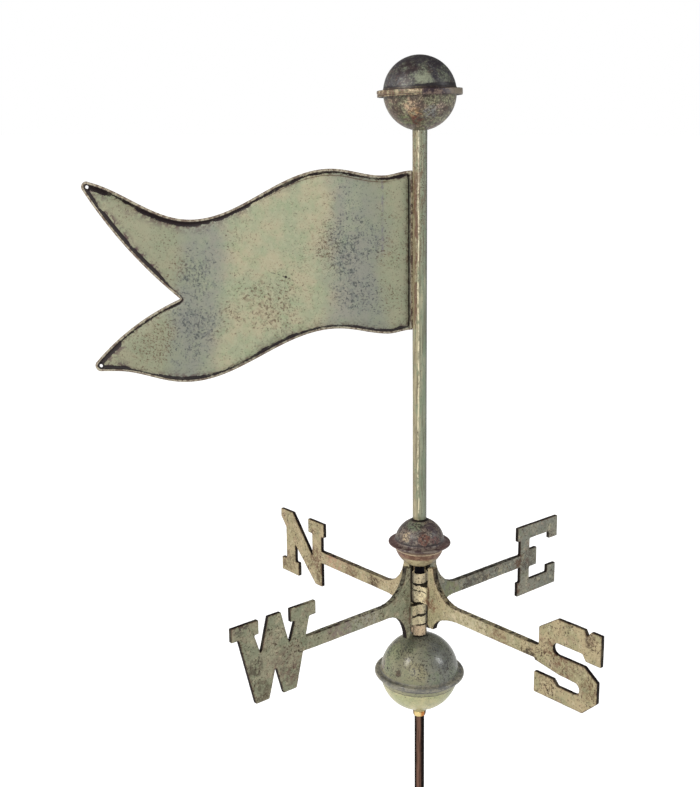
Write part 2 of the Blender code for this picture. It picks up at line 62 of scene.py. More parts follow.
FLAG_START = TUBE_DIA / 2 + GAP
FIRST_ARM_TURN = 43.1
TUBE_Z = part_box("vane_tube")[0].z
TUBE_TOP_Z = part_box("vane_tube")[1].z
ROD_TOP_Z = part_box("rod")[1].z
FLAG_Z = TUBE_Z + TUBE_SHOWN - FLAG_DROP
BALL_SIDES = 128
SHARP = 50
TOP_BALL_Z = TUBE_Z + TUBE_SHOWN + TOP_BALL_DIA / 2
SMALL_BALL_Z = sum(corner.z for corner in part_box("small_ball")) / 2


def srgb(red, green, blue):
    """A screen colour, 0 to 255 a channel, as the linear colour that a shader takes."""
    levels = [channel / 255 for channel in (red, green, blue)]
    linear = [level / 12.92 if level <= 0.04045 else ((level + 0.055) / 1.055) ** 2.4 for level in levels]
    return (*linear, 1.0)


def put(tree, socket, value):
    """Links a socket, or sets it to a plain value."""
    if isinstance(value, bpy.types.NodeSocket):
        tree.links.new(value, socket)
    else:
        socket.default_value = value


def added(tree, kind, inputs=(), **settings):
    """The outputs of a new node, with its settings, and its inputs by name or number."""
    node = tree.nodes.new(kind)
    for name, value in settings.items():
        setattr(node, name, value)
    for name, value in dict(inputs).items():
        put(tree, node.inputs[name], value)
    return node.outputs


class Finish:
    """A material on Object coordinates, its colour built up a coat at a time.
    A tone is a screen colour or a socket."""

    def __init__(self, name, specular, metallic=0.0):
        self.material = bpy.data.materials.new(name)
        self.material.use_nodes = True
        self.tree = self.material.node_tree
        self.shader = self.tree.nodes["Principled BSDF"]
        self.shader.inputs["Metallic"].default_value = metallic
        self.shader.inputs["Specular IOR Level"].default_value = specular
        self.place = self.node("TexCoord")["Object"]
        self.colour = None

    def node(self, kind, inputs=(), **settings):
        return added(self.tree, "ShaderNode" + kind, inputs, **settings)

    def grain(self, scale, detail=4.0, rough=0.6, offset=0.0, stretch=(1, 1, 1)):
        """Noise from 0 to 1, with scale features a metre."""
        shift = {"Vector": self.place, "Location": (offset, offset * 0.7, -offset), "Scale": stretch}
        noise_inputs = {"Vector": self.node("Mapping", shift)["Vector"], "Scale": scale}
        return self.node("TexNoise", noise_inputs | {"Detail": detail, "Roughness": rough})["Fac"]

    def axis(self, name):
        return self.node("SeparateXYZ", {0: self.place})[name]

    def attribute(self, name):
        return self.node("Attribute", attribute_name=name)["Fac"]

    def sum(self, kind, first, second=0.5, third=0.5):
        return self.node("Math", enumerate((first, second, third)), operation=kind)[0]

    def times(self, first, second):
        return self.sum("MULTIPLY", first, second)

    def most(self, first, second):
        return self.sum("MAXIMUM", first, second)

    def less(self, first, second):
        return self.sum("SUBTRACT", first, second)

    def size(self, value):
        return self.sum("ABSOLUTE", value)

    def line(self, value, slope, start):
        """The value times a slope, plus a start."""
        return self.sum("MULTIPLY_ADD", value, slope, start)

    def swayed(self, value, wander, reach):
        """The value moved by a noise, over a reach."""
        return self.line(self.less(wander, 0.5), reach, value)

    def step(self, value, low, high):
        """0 below low, 1 above high, smooth between. Low may be above high."""
        flip = low > high
        ends = {"Value": value, "From Min": min(low, high), "From Max": max(low, high)}
        ends |= {"To Min": float(flip), "To Max": float(not flip)}
        return self.node("MapRange", ends, interpolation_type="SMOOTHSTEP")["Result"]

    def band(self, value, middle, half, soft):
        """1 within half of middle, falling to 0 over soft."""
        return self.step(self.size(self.less(value, middle)), half + soft, half)

    def paint(self, amount, under, over):
        """One tone over another, by an amount."""
        under, over = (tone if isinstance(tone, bpy.types.NodeSocket) else srgb(*tone) for tone in (under, over))
        return self.node("Mix", {0: amount, 6: under, 7: over}, data_type="RGBA")[2]

    def ground(self, mask, low, high, first, last):
        """Starts the colour afresh: one tone where the mask is low and another where it is high."""
        self.colour = self.paint(self.step(mask, low, high), first, last)

    def coat(self, mask, amount, tone):
        """Lays a tone over the colour, in a mask times an amount."""
        self.colour = self.paint(self.times(mask, amount), self.colour, tone)

    def cover(self, mask, tone):
        """Lays a tone over the colour, in the whole of a mask."""
        self.colour = self.paint(mask, self.colour, tone)

    def near(self, place, radius, ragged=0.5, seed=0.0, soft=0.45):
        """1 round a place, falling off over a ragged edge."""
        gap = self.node("VectorMath", {0: self.place, 1: place}, operation="DISTANCE")["Value"]
        share = self.sum("DIVIDE", gap, radius)
        wander = self.less(self.grain(1.3 / radius, 5.0, 0.7, seed), 0.5)
        return self.step(self.line(wander, 3.0 * ragged, share), 0.93 + soft / 2, 0.93 - soft / 2)

    def patches(self, places, detail):
        """Lays ragged patches, each a place, radius, tone and amount, broken up by detail."""
        for index, (*place, radius, tone, amount) in enumerate(places):
            self.cover(self.times(self.times(self.near(place, radius, 0.5, index * 1.7), amount), detail), tone)

    def blotches(self, scale, cover, offset=0.0, crisp=0.05, stretch=(1, 1, 1)):
        """Ragged blotches that cover about a share of the surface."""
        edge = 0.5 + (0.5 - cover) * 0.36
        return self.step(self.grain(scale, 6.0, 0.68, offset, stretch), edge - crisp, edge + crisp)

    def specks(self, size, cover, offset, mask=None):
        """Fine crisp dots about size across, on a share of the surface, kept to a mask where it is given."""
        cover = cover if mask is None else self.times(cover, mask)
        edge = self.line(cover, -0.36, 0.68)
        return self.step(self.less(self.grain(1.0 / size, 3.0, 0.75, offset), edge), -0.012, 0.022)

    def vein(self, scale, width, offset):
        """Thin wandering lines."""
        away = self.size(self.less(self.grain(scale, 3.0, 0.55, offset), 0.5))
        return self.step(away, width, width * 0.3)

    def done(self, roughness, relief, depth):
        bump = self.node("Bump", {"Strength": 1.0, "Distance": depth, "Height": relief})["Normal"]
        for name, value in (("Base Color", self.colour), ("Roughness", roughness), ("Normal", bump)):
            put(self.tree, self.shader.inputs[name], value)
        return self.material


# Colours of the patina
MOSS = (118, 128, 100)
UMBER = (84, 64, 50)
PLUM = (82, 62, 64)
SOOT = (34, 26, 26)
ROSE = (176, 142, 124)


def strongest(f, places, ragged, stride, soft=0.45):
    """The strongest of some soft places in the flag's plane, each x, z, radius and amount."""
    return reduce(f.most, (
        f.times(f.near((x, 0, z), radius, ragged, index * stride, soft), weight)
        for index, (x, z, radius, weight) in enumerate(places)))


def flag_finish():
    f = Finish("flag_verdigris", 0.3)
    x = f.axis("X")
    cloud = f.grain(26, 5, 0.62, 1.1)
    fine = f.grain(210, 4, 0.7, 4)
    f.ground(cloud, 0.4, 0.6, (151, 157, 130), (168, 162, 135))
    f.coat(f.blotches(60, 0.4, 2.2, 0.08), 0.55, (142, 156, 124))
    f.coat(f.blotches(150, 0.4, 8.2, 0.06), 0.3, (178, 176, 148))

    # Duller and darker towards the tails and the hoist
    dull = f.most(f.step(x, -0.225, -0.3), f.step(x, -0.1, -0.05))
    f.coat(dull, 0.58, (128, 132, 110))
    # Painted shade and reflection: two soft bluish-grey bands across the flag, where its ripples turn from the
    # light
    swayed = f.swayed(x, f.grain(14, 4, 0.6, 0.3), 0.07)
    slant = f.line(f.less(f.axis("Z"), FLAG_Z - 0.06), -0.15, swayed)
    near_shade_band = f.times(f.band(swayed, -0.076, 0.014, 0.034), 0.7)
    far_shade_band = f.times(f.band(slant, -0.269, 0.01, 0.036), 0.72)
    shade_bands = f.most(near_shade_band, far_shade_band)
    uneven = f.line(f.step(cloud, 0.3, 0.62), 0.55, 0.35)
    f.coat(shade_bands, uneven, (120, 124, 124))
    crease = f.times(f.band(x, -0.0443, 0.0005, 0.0016), f.step(fine, 0.46, 0.56))
    crease = f.times(crease, f.step(f.axis("Z"), FLAG_Z - 0.02, FLAG_Z + 0.01))
    f.coat(crease, 0.6, (104, 98, 112))

    clusters = strongest(f, FLAG_CLUSTERS, 1, 2.3, 1.5)
    stray = f.times(f.blotches(30, 0.4, 5, 0.12), 0.42)
    clusters = f.most(f.most(clusters, stray), f.times(shade_bands, 0.5))
    # The dots in the painted shade bands are cooler
    cold = f.step(shade_bands, 0.25, 0.65)
    light_dot = f.paint(cold, (116, 98, 78), (92, 98, 100))
    dark_dot = f.paint(cold, (84, 64, 48), (64, 68, 70))
    f.coat(f.specks(0.0048, 0.46, 3, clusters), 0.4, light_dot)
    f.coat(f.specks(0.0027, 0.42, 7, clusters), 0.78, dark_dot)
    f.coat(f.specks(0.0022, 0.17, 11), 0.6, dark_dot)

    depth = f.attribute("depth_mm")
    slow = f.grain(30, 4, 0.7, 9)
    heavy = strongest(f, FLAG_STAINS, 0.5, 3.1)
    along_edge = f.step(depth, 20, 5)
    smear = f.times(f.times(along_edge, heavy), f.step(fine, 0.44, 0.54))
    f.coat(smear, 0.85, PLUM)
    light_smear = f.times(f.step(depth, 12, 4.5), f.step(f.grain(190, 5, 0.75, 6), 0.5, 0.56))
    f.coat(light_smear, 0.75, UMBER)
    half = f.line(f.step(slow, 0.4, 0.64), 1.3, 0.6)
    half = f.line(heavy, 2.1, half)
    half = f.swayed(half, fine, 3.6)
    half = f.swayed(half, f.grain(560, 3, 0.7, 14), 4)
    hoist_side = f.step(x, -0.026, -0.016)
    half = f.sum("MINIMUM", half, f.line(hoist_side, -2.75, 3.5))
    middle = f.line(heavy, 0.8, 4)
    away = f.size(f.less(depth, middle))
    line = f.step(f.less(away, half), 0.35, -0.15)
    broken = f.line(f.step(f.grain(95, 4, 0.7, 13), 0.36, 0.46), 0.24, 0.76)
    broken = f.most(broken, heavy)
    f.coat(line, broken, (28, 18, 20))
    second = f.times(f.band(depth, 7.4, 0.25, 0.5), f.near(FLAG_CREST, 0.085, 0.3, 4))
    f.coat(second, 0.8, UMBER)
    lip = f.step(depth, 2.9, 2.3)
    lip_tone = f.paint(f.step(fine, 0.44, 0.56), (178, 170, 150), (116, 100, 86))
    f.coat(lip, 0.88, lip_tone)
    edge_line = f.times(f.step(depth, 0.9, 0.5), f.step(slow, 0.38, 0.56))
    f.coat(edge_line, 0.7, UMBER)

    scratch = f.times(f.near((-0.168, -0.008, 0.7085), 0.017, 0.1, 1), scratch_line(f))
    f.coat(scratch, 0.8, SOOT)
    f.cover(f.near((-0.161, -0.008, 0.7066), 0.002, 0.3, 2), SOOT)
    relief = f.line(f.grain(420, 4, 0.7, 8), 0.5, f.grain(60, 3, 0.5, 2))
    return f.done(f.line(cloud, 0.25, 0.42), relief, 0.00022)


# Speckled clusters on the flag: x, z, radius, amount
FLAG_CLUSTERS = [
    (-0.2726, 0.7091, 0.032, 0.9), (-0.1814, 0.67, 0.052, 0.85), (-0.145, 0.695, 0.034, 0.55),
    (-0.0896, 0.7426, 0.04, 1), (-0.037, 0.738, 0.036, 0.75), (-0.042, 0.78, 0.024, 0.6),
    (-0.0819, 0.6885, 0.026, 0.9), (-0.036, 0.68, 0.03, 0.7), (-0.3173, 0.62, 0.044, 0.85),
    (-0.275, 0.65, 0.042, 0.9), (-0.09, 0.79, 0.028, 0.55), (-0.305, 0.75, 0.02, 0.55),
    (-0.352, 0.785, 0.018, 0.6), (-0.225, 0.75, 0.018, 0.45), (-0.14, 0.8, 0.022, 0.35),
]
# Dark stains along the flag's edge, as above
FLAG_STAINS = [
    (-0.385, 0.808, 0.018, 1), (-0.2946, 0.7747, 0.046, 1), (-0.225, 0.785, 0.03, 0.6),
    (-0.3759, 0.606, 0.026, 1.3), (-0.37, 0.756, 0.034, 1.7), (-0.336, 0.713, 0.032, 1.6),
    (-0.285, 0.585, 0.035, 0.85), (-0.33, 0.795, 0.024, 0.3), (-0.17, 0.62, 0.03, 0.6),
    (-0.06, 0.642, 0.03, 0.45), (-0.02, 0.642, 0.014, 0.8), (-0.02, 0.831, 0.012, 0.9),
    (-0.17, 0.818, 0.028, 0.35),
]
FLAG_CREST = (-0.11, 0, 0.825)


def scratch_line(f):
    """A thin slanting scratch."""
    slope, x, z = 0.375, -0.168, 0.7087
    drop = f.line(f.axis("X"), slope, f.axis("Z"))
    wander = f.swayed(drop, f.grain(150, 3, 0.6, 3), 0.004)
    line = f.band(wander, z + slope * x, 0.0003, 0.0004)
    return f.times(line, f.step(f.grain(260, 3, 0.6, 5), 0.44, 0.52))


def top_ball_finish():
    f = Finish("top_ball_verdigris", 0.45)
    rise, rim = f.attribute("rise_share"), f.attribute("rim_share")
    cloud, patch = f.grain(48, 6, 0.72, 19), f.grain(140, 6, 0.78, 21)
    grit = f.grain(520, 3, 0.8, 33)
    above = f.step(rise, -0.02, 0.02)
    # Upper dome: patina in darker tones than the lower dome's, partly painted shade
    f.ground(cloud, 0.44, 0.56, (122, 128, 110), (90, 90, 92))
    f.coat(f.blotches(110, 0.38, 22, 0.03), 0.8, (76, 56, 52))
    # Painted shade: darker towards the top, which faces the dark overhead
    shaded_top = f.swayed(rise, patch, 2.4)
    shaded_top = f.step(f.swayed(shaded_top, cloud, 1.6), 0.55, 0.8)
    f.coat(shaded_top, 0.92, (46, 42, 52))
    f.coat(f.specks(0.0027, 0.6, 26), 0.72, (50, 44, 48))
    f.coat(f.specks(0.0026, 0.24, 28), 0.5, (144, 145, 127))
    upper = f.colour
    f.ground(cloud, 0.44, 0.56, (146, 146, 116), (122, 104, 90))
    f.coat(f.blotches(120, 0.3, 25, 0.03), 0.7, (176, 160, 130))
    f.coat(f.blotches(150, 0.34, 27, 0.03), 0.85, (66, 52, 44))
    mottle = f.line(f.step(patch, 0.43, 0.53), 0.8, 0.15)
    # Patches of the lower dome; the pale pink one at x -0.012, just under the rim's left, is a painted highlight
    f.patches([
        (-0.0056, -0.0358, 0.8979, 0.008, (190, 152, 106), 0.9),
        (-0.012, -0.04, 0.908, 0.009, (196, 168, 138), 0.9),
        (-0.0274, -0.0258, 0.9003, 0.0085, (74, 52, 44), 1),
        (-0.0011, -0.0309, 0.89, 0.0095, (98, 50, 36), 1),
        (0.0126, -0.0347, 0.899, 0.0095, (128, 129, 132), 0.8),
        (0.025, -0.03, 0.905, 0.008, (178, 156, 142), 0.8),
        (0.031, -0.025, 0.9, 0.008, (78, 56, 46), 1),
        (-0.018, -0.025, 0.888, 0.01, (112, 126, 84), 0.9),
        (0.01, -0.026, 0.886, 0.01, (122, 130, 96), 0.8),
    ], mottle)
    f.coat(f.specks(0.0028, 0.56, 31), 0.72, (56, 44, 36))
    f.cover(above, upper)
    f.patches([
        (0.0046, -0.0417, 0.933, 0.013, (150, 156, 134), 0.75),
        (-0.015, -0.03, 0.948, 0.013, (44, 34, 36), 1),
    ], mottle)
    wander = f.swayed(rise, patch, 0.16)
    thicker = f.line(f.step(f.axis("X"), -0.02, 0.02), 0.05, 0.024)
    groove = f.step(f.less(f.size(f.less(wander, 0.14)), thicker), 0.03, 0)
    f.coat(groove, 0.95, (30, 22, 28))
    right = f.step(f.axis("X"), 0.0015, 0.003)
    domes = f.colour
    f.ground(patch, 0.44, 0.53, (178, 163, 132), (104, 80, 64))
    f.coat(f.specks(0.0026, 0.35, 36), 0.6, (108, 116, 84))
    # Painted highlight: a pale band along the left of the rim
    bright = f.times(f.band(rise, 0.03, 0.012, 0.02), f.step(cloud, 0.44, 0.52))
    bright = f.times(bright, f.step(f.axis("X"), -0.036, -0.016))
    f.coat(bright, 0.8, (222, 202, 166))
    lower_line = f.band(f.line(patch, 0.02, rise), -0.03, 0.007, 0.008)
    f.coat(lower_line, 0.85, (58, 42, 34))
    rim_left = f.colour
    f.ground(patch, 0.46, 0.56, (46, 30, 38), (118, 100, 88))
    right_end = f.step(f.axis("X"), 0.027, 0.043)
    f.coat(right_end, 0.75, (138, 128, 110))
    f.colour = f.paint(rim, domes, f.paint(right, rim_left, f.colour))
    outline = f.times(rim, f.step(f.size(rise), 0.07, 0.084))
    f.coat(outline, 0.75, (40, 28, 28))
    f.coat(f.attribute("seam_share"), 0.95, (26, 18, 20))
    f.coat(f.step(grit, 0.56, 0.62), 0.35, SOOT)
    relief = f.line(grit, 0.6, cloud)
    return f.done(f.line(patch, 0.45, 0.18), relief, 0.0003)


def small_ball_finish():
    f = Finish("small_ball_verdigris", 0.45)
    rise, rim = f.attribute("rise_share"), f.attribute("rim_share")
    cloud, patch = f.grain(60, 6, 0.72, 11), f.grain(170, 6, 0.78, 13)
    above = f.step(rise, -0.02, 0.02)
    # The upper dome is given darker tones than the lower one: partly painted shade, partly patina
    f.ground(cloud, 0.44, 0.56, (136, 123, 110), (110, 106, 99))
    f.coat(f.blotches(150, 0.4, 14, 0.03), 0.8, (74, 52, 50))
    f.coat(f.blotches(180, 0.24, 17, 0.03), 0.75, (164, 150, 126))
    upper = f.colour
    f.ground(cloud, 0.44, 0.56, (188, 174, 136), (166, 154, 120))
    f.coat(f.blotches(150, 0.36, 15, 0.03), 0.65, (104, 76, 60))
    f.cover(above, upper)
    mottle = f.line(f.step(patch, 0.43, 0.53), 0.75, 0.2)
    f.patches([
        (-0.0063, -0.0131, 0.3962, 0.012, (118, 132, 104), 0.8),
        (0.0162, -0.0142, 0.3913, 0.011, (78, 64, 70), 0.9),
        (-0.017, -0.023, 0.383, 0.007, (194, 174, 142), 0.9),
        (0.0061, -0.0283, 0.3807, 0.008, (116, 64, 48), 0.8),
        (0.0212, -0.0222, 0.3757, 0.009, (108, 66, 60), 0.85),
    ], mottle)
    ring = f.swayed(rise, patch, 0.14)
    sides = f.times(f.step(f.size(f.axis("X")), 0.008, 0.022), f.step(rise, -0.02, -0.06))
    f.coat(sides, 0.6, (110, 84, 66))
    red_band = f.paint(f.step(patch, 0.45, 0.55), (96, 56, 40), (140, 106, 82))
    f.coat(f.band(ring, -0.37, 0.1, 0.04), 0.92, red_band)
    f.coat(f.band(ring, -0.15, 0.06, 0.03), 0.8, (106, 78, 64))
    f.coat(f.band(ring, -0.24, 0.012, 0.012), 0.85, (200, 182, 150))
    f.coat(f.band(ring, 0.13, 0.03, 0.05), 0.85, (44, 32, 34))
    f.coat(f.specks(0.0025, 0.46, 16, above), 0.8, (44, 34, 36))
    domes = f.colour
    f.ground(patch, 0.45, 0.55, (128, 116, 106), (66, 46, 48))
    ends = f.step(f.size(f.axis("X")), 0.02, 0.032)
    f.coat(ends, 0.7, (98, 70, 68))
    rim_tone, f.colour = f.colour, domes
    f.coat(rim, 0.95, rim_tone)
    f.coat(f.attribute("seam_share"), 0.95, (28, 20, 22))
    f.cover(f.step(f.axis("Z"), SMALL_BALL_Z + 0.0292, SMALL_BALL_Z + 0.0298), SOOT)
    relief = f.line(f.grain(420, 4, 0.7, 12), 0.8, cloud)
    return f.done(f.line(patch, 0.4, 0.22), relief, 0.0003)


def lower_ball_finish():
    f = Finish("lower_ball_verdigris", 0.5)
    rise, rim = f.attribute("rise_share"), f.attribute("rim_share")
    cloud, patch = f.grain(34, 6, 0.68, 3), f.grain(110, 6, 0.75, 5)
    above = f.step(rise, -0.02, 0.02)
    x = f.axis("X")
    f.ground(x, -0.03, 0.03, (152, 149, 120), (126, 128, 118))
    f.coat(f.blotches(48, 0.35, 6.6, 0.07), 0.55, (120, 132, 102))
    # Painted shade: darker towards the top, which faces the dark overhead
    shaded_top = f.step(f.swayed(rise, patch, 1.2), 0.6, 1)
    f.coat(shaded_top, 0.7, (88, 90, 82))
    upper = f.colour
    # Lower dome: paler than the upper, partly painted light from below, partly patina
    f.ground(cloud, 0.42, 0.6, (204, 196, 150), (180, 182, 136))
    f.coat(f.blotches(70, 0.35, 6, 0.06), 0.45, (142, 146, 112))
    f.cover(above, upper)
    f.patches([
        (-0.0361, -0.0188, 0.2209, 0.016, (126, 140, 104), 0.6),
        (-0.048, -0.01, 0.205, 0.009, (132, 108, 100), 0.6),
        (0.0254, -0.0273, 0.225, 0.018, (92, 96, 98), 0.55),
        (-0.005, -0.048, 0.206, 0.017, (150, 142, 106), 0.6),
    ], f.line(f.step(cloud, 0.4, 0.6), 0.6, 0.4))
    f.cover(f.near((-0.0411, -0.0254, 0.2061), 0.0018, 0.2, 1), (36, 30, 24))
    f.coat(f.near((-0.0272, -0.0403, 0.2054), 0.0045, 0.6, 3), 0.9, (92, 74, 54))
    ring = f.swayed(rise, patch, 0.07)
    f.coat(f.band(ring, -0.17, 0.05, 0.05), 0.55, (128, 126, 108))
    f.coat(f.band(ring, -0.24, 0.007, 0.01), 0.75, (88, 82, 72))
    crowded = f.line(f.step(cloud, 0.36, 0.6), 0.65, 0.35)
    crowded = f.times(crowded, f.step(rise, -0.9, 0.5))
    f.coat(f.specks(0.0023, 0.44, 8, crowded), 0.85, (50, 46, 42))
    f.coat(f.specks(0.0032, 0.22, 9, crowded), 0.8, (48, 42, 36))
    f.coat(f.specks(0.0016, 0.22, 10, above), 0.5, (168, 164, 134))
    domes = f.colour
    f.ground(patch, 0.44, 0.56, (110, 109, 106), (146, 142, 126))
    front_low = f.times(f.step(f.axis("Z"), LOWER_BALL_Z - 0.001, LOWER_BALL_Z - 0.003), 0.5)
    f.cover(front_low, (74, 72, 76))
    rim_tone, f.colour = f.colour, domes
    f.coat(rim, 0.92, rim_tone)
    f.coat(f.attribute("seam_share"), 0.95, (34, 28, 30))
    relief = f.line(f.grain(380, 4, 0.7, 4), 0.5, cloud)
    return f.done(f.line(patch, 0.25, 0.14), relief, 0.00016)


def cast_finish(name, face, tint, eye, brown, paler_top, shaded, seed, marks):
    """Cast brass with dark sides, paler on top of the arm, and painted shade beside the eyes out to a reach."""
    f = Finish(name, 0.12)
    x, y = f.axis("X"), f.axis("Y")
    reach = f.sum("SQRT", f.line(x, x, f.times(y, y)))
    flank = f.attribute("flank_share")
    cloud = f.grain(34, 5, 0.65, seed)
    patch = f.grain(170, 6, 0.76, seed + 1)
    f.ground(cloud, 0.42, 0.58, face, tint)
    in_column = f.times(f.step(f.size(x), 0.0104, 0.0096), f.step(reach, 0.02, 0.018))
    on_eye = f.most(f.attribute("eye_share"), in_column)
    f.coat(on_eye, 0.92, eye)
    f.coat(f.blotches(70, 0.28, seed + 2, 0.05), 0.28, ROSE)
    f.coat(f.blotches(85, 0.25, seed + 3, 0.05), 0.4, MOSS)
    f.coat(f.blotches(120, 0.25, seed + 9, 0.04), 0.5, (206, 196, 164))
    clusters = f.blotches(36, 0.38, seed + 4, 0.14)
    smudge = f.times(clusters, f.blotches(230, 0.34, seed + 5, 0.03))
    f.coat(smudge, brown, (98, 72, 54))
    f.coat(f.specks(0.003, 0.38, seed + 6, clusters), 0.88, (58, 40, 32))
    f.coat(f.specks(0.0025, 0.26, seed + 8), 0.72, (72, 54, 42))
    cracks = f.times(f.vein(52, 0.008, seed + 7), f.blotches(30, 0.45, seed + 10, 0.08))
    f.coat(cracks, 0.8, (66, 46, 36))
    f.patches(marks, f.line(f.step(patch, 0.46, 0.53), 0.75, 0.05))
    worn = f.times(f.band(flank, 0.25, 0.14, 0.12), f.step(patch, 0.38, 0.5))
    f.coat(worn, 0.8, (78, 50, 36))
    thick = f.line(f.step(cloud, 0.32, 0.54), 0.16, 0.84)
    # The arm's upward faces keep less of the dark of the sides
    on_arm = f.times(f.attribute("top_share"), f.step(reach, 0.192, 0.182))
    thick = f.line(on_arm, f.times(f.step(patch, 0.6, 0.42), -paler_top), thick)
    f.coat(f.step(flank, 0.36, 0.66), thick, (24, 15, 13))
    z = f.axis("Z")
    wander = f.swayed(z, patch, 0.007)
    seams = reduce(f.most, (f.band(wander, level, half, 0.0004) for level, half in EYE_SEAMS))
    # Painted shade beside the eyes, in the gaps by the blades, on the eyes' front and the rear blades' roots
    beside = f.times(f.step(f.size(x), 0.0072, 0.0082), f.step(reach, shaded + 0.0006, shaded))
    corner = f.most(f.step(y, -0.001, -0.003), f.step(reach, 0.01, 0.0106))
    beside = f.times(beside, corner)
    # Painted shade in the seams and grooves of the eyes and beside them
    crevice_shade = f.most(f.times(seams, on_eye), beside)
    f.coat(crevice_shade, 0.96, (20, 13, 12))
    relief = f.line(f.grain(300, 5, 0.7, seed + 3), 0.8, patch)
    return f.done(f.line(patch, 0.25, 0.45), relief, 0.00045)


# Painted shade in the seams and grooves of the eyes: height and half width
EYE_SEAMS = [
    (0.2412, 0.0018), (0.2581, 0.0009), (0.2715, 0.0014), (0.2876, 0.0014), (0.3048, 0.0006), (0.313, 0.0015),
]

# Stains on each casting: x, y, z, radius, tone, amount
EAST_MARKS = [
    (0.0421, 0.0354, 0.2869, 0.018, (142, 150, 112), 0.8),
    (0.0809, 0.0718, 0.2858, 0.015, (62, 58, 56), 0.8),
    (0.0641, 0.056, 0.2838, 0.011, (70, 66, 62), 0.8),
    (0.1382, 0.1253, 0.2902, 0.011, (98, 62, 40), 0.9),
    (0.1345, 0.1219, 0.2484, 0.011, (104, 66, 42), 0.8),
    (0.152, 0.1383, 0.288, 0.018, (66, 54, 46), 0.65),
]
NORTH_MARKS = [
    (-0.194, 0.2031, 0.2641, 0.018, (84, 62, 46), 0.75),
    (-0.1479, 0.1538, 0.2881, 0.015, (98, 66, 52), 0.8),
    (-0.136, 0.1411, 0.2615, 0.018, (92, 64, 46), 0.8),
    (-0.0933, 0.0955, 0.2892, 0.014, (104, 72, 58), 0.85),
    (-0.0618, 0.0618, 0.2872, 0.011, (66, 42, 34), 0.95),
    (-0.1185, 0.1224, 0.2945, 0.016, (184, 138, 118), 0.6),
]
WEST_MARKS = [
    (-0.075, -0.072, 0.29, 0.034, (184, 182, 168), 0.6),
    (-0.2002, -0.1913, 0.3415, 0.012, (66, 46, 50), 0.95),
    (-0.1859, -0.178, 0.2838, 0.013, (58, 42, 36), 0.8),
    (-0.1808, -0.1732, 0.2515, 0.015, (84, 66, 50), 0.7),
    (-0.1566, -0.1505, 0.2736, 0.02, (108, 88, 78), 0.6),
    (-0.0965, -0.0943, 0.2922, 0.02, (128, 104, 104), 0.7),
    (-0.1465, -0.141, 0.2561, 0.014, (112, 84, 76), 0.6),
]
SOUTH_MARKS = [
    (0.062, -0.068, 0.288, 0.036, (214, 202, 172), 0.65),
    (0.1282, -0.1413, 0.2776, 0.013, (36, 22, 20), 1),
    (0.0956, -0.1064, 0.2823, 0.014, (108, 74, 56), 0.75),
    (0.1641, -0.1796, 0.2819, 0.018, (112, 80, 66), 0.75),
    (0.1547, -0.1695, 0.299, 0.015, (104, 70, 54), 0.8),
    (0.1872, -0.2043, 0.3304, 0.009, (60, 40, 32), 0.85),
    (0.1869, -0.204, 0.2701, 0.013, (110, 84, 62), 0.65),
    (0.0139, -0.0191, 0.2898, 0.012, (112, 70, 52), 0.8),
]


def tube_finish():
    f = Finish("tube_verdigris", 0.6)
    x, z = f.axis("X"), f.axis("Z")
    streak = f.grain(420, 4, 0.7, 0.8, (1, 1, 0.05))
    slow = f.grain(45, 4, 0.6, 3.1, (1, 1, 0.5))
    broken = f.grain(150, 5, 0.7, 4.1, (1, 1, 0.5))
    side = f.swayed(x, slow, 0.004)
    # Partly painted light: lighter and warmer down the left side than the right
    f.ground(side, -0.0055, 0.0045, (154, 145, 115), (138, 146, 123))
    f.coat(f.step(streak, 0.5, 0.57), 0.6, (98, 90, 66))
    f.coat(f.step(streak, 0.44, 0.36), 0.5, (196, 187, 152))
    f.coat(f.blotches(130, 0.35, 3.5, 0.04, (1, 1, 0.3)), 0.45, (116, 136, 108))
    # Painted highlight: a bright thin streak down the tube's left
    painted_highlight = f.times(f.band(side, -0.0016, 0.0004, 0.0008), f.step(broken, 0.4, 0.54))
    f.coat(painted_highlight, 0.85, (236, 226, 190))
    near_top = f.step(z, FLAG_Z - 0.12, FLAG_Z + 0.1)
    by_flag = f.step(f.size(f.less(z, FLAG_Z)), 0.105, 0.085)
    rusty = f.times(f.times(f.band(side, -0.0046, 0.0012, 0.0016), by_flag), f.step(broken, 0.42, 0.52))
    f.coat(rusty, 0.8, (92, 62, 46))
    brown = f.times(f.blotches(240, 0.4, 6, 0.03, (1, 1, 0.2)), near_top)
    f.coat(brown, 0.62, (104, 74, 54))
    dotted = f.line(near_top, 0.6, 0.4)
    f.coat(f.specks(0.0022, 0.32, 9, dotted), 0.8, UMBER)
    # Painted shade: dark down the tube's right edge
    edge = f.times(f.step(x, 0.0066, 0.0082), f.line(broken, 0.6, 0.45))
    f.cover(edge, (54, 58, 58))
    left_edge = f.times(f.step(x, -0.0074, -0.0086), f.step(broken, 0.4, 0.56))
    f.coat(left_edge, 0.65, (84, 74, 56))
    return f.done(f.line(slow, 0.2, 0.14), f.grain(200, 4, 0.7, 5), 0.00012)


def brass_finish():
    f = Finish("ferrule_brass", 0.5, 0.8)
    z = f.axis("Z")
    low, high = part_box("ferrule")[0].z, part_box("ferrule")[1].z
    wander = f.grain(160, 4, 0.7, 1)
    height = f.swayed(z, wander, 0.005)
    x = f.axis("X")
    # Painted light: a bright highlight down the left of the collar, browner to the right, dark down its right edge
    # and darker at its left edge
    f.ground(x, 0, 0.004, (252, 226, 160), (200, 130, 66))
    f.cover(f.step(x, 0.0055, 0.0075), (64, 44, 26))
    f.cover(f.step(x, -0.0055, -0.0075), (150, 118, 80))
    f.cover(f.step(height, high - 0.0062, high - 0.0042), (170, 162, 118))
    f.coat(f.step(z, low + 0.0012, low + 0.0004), 0.8, (60, 40, 22))
    return f.done(f.line(wander, 0.25, 0.14), wander, 0.0001)


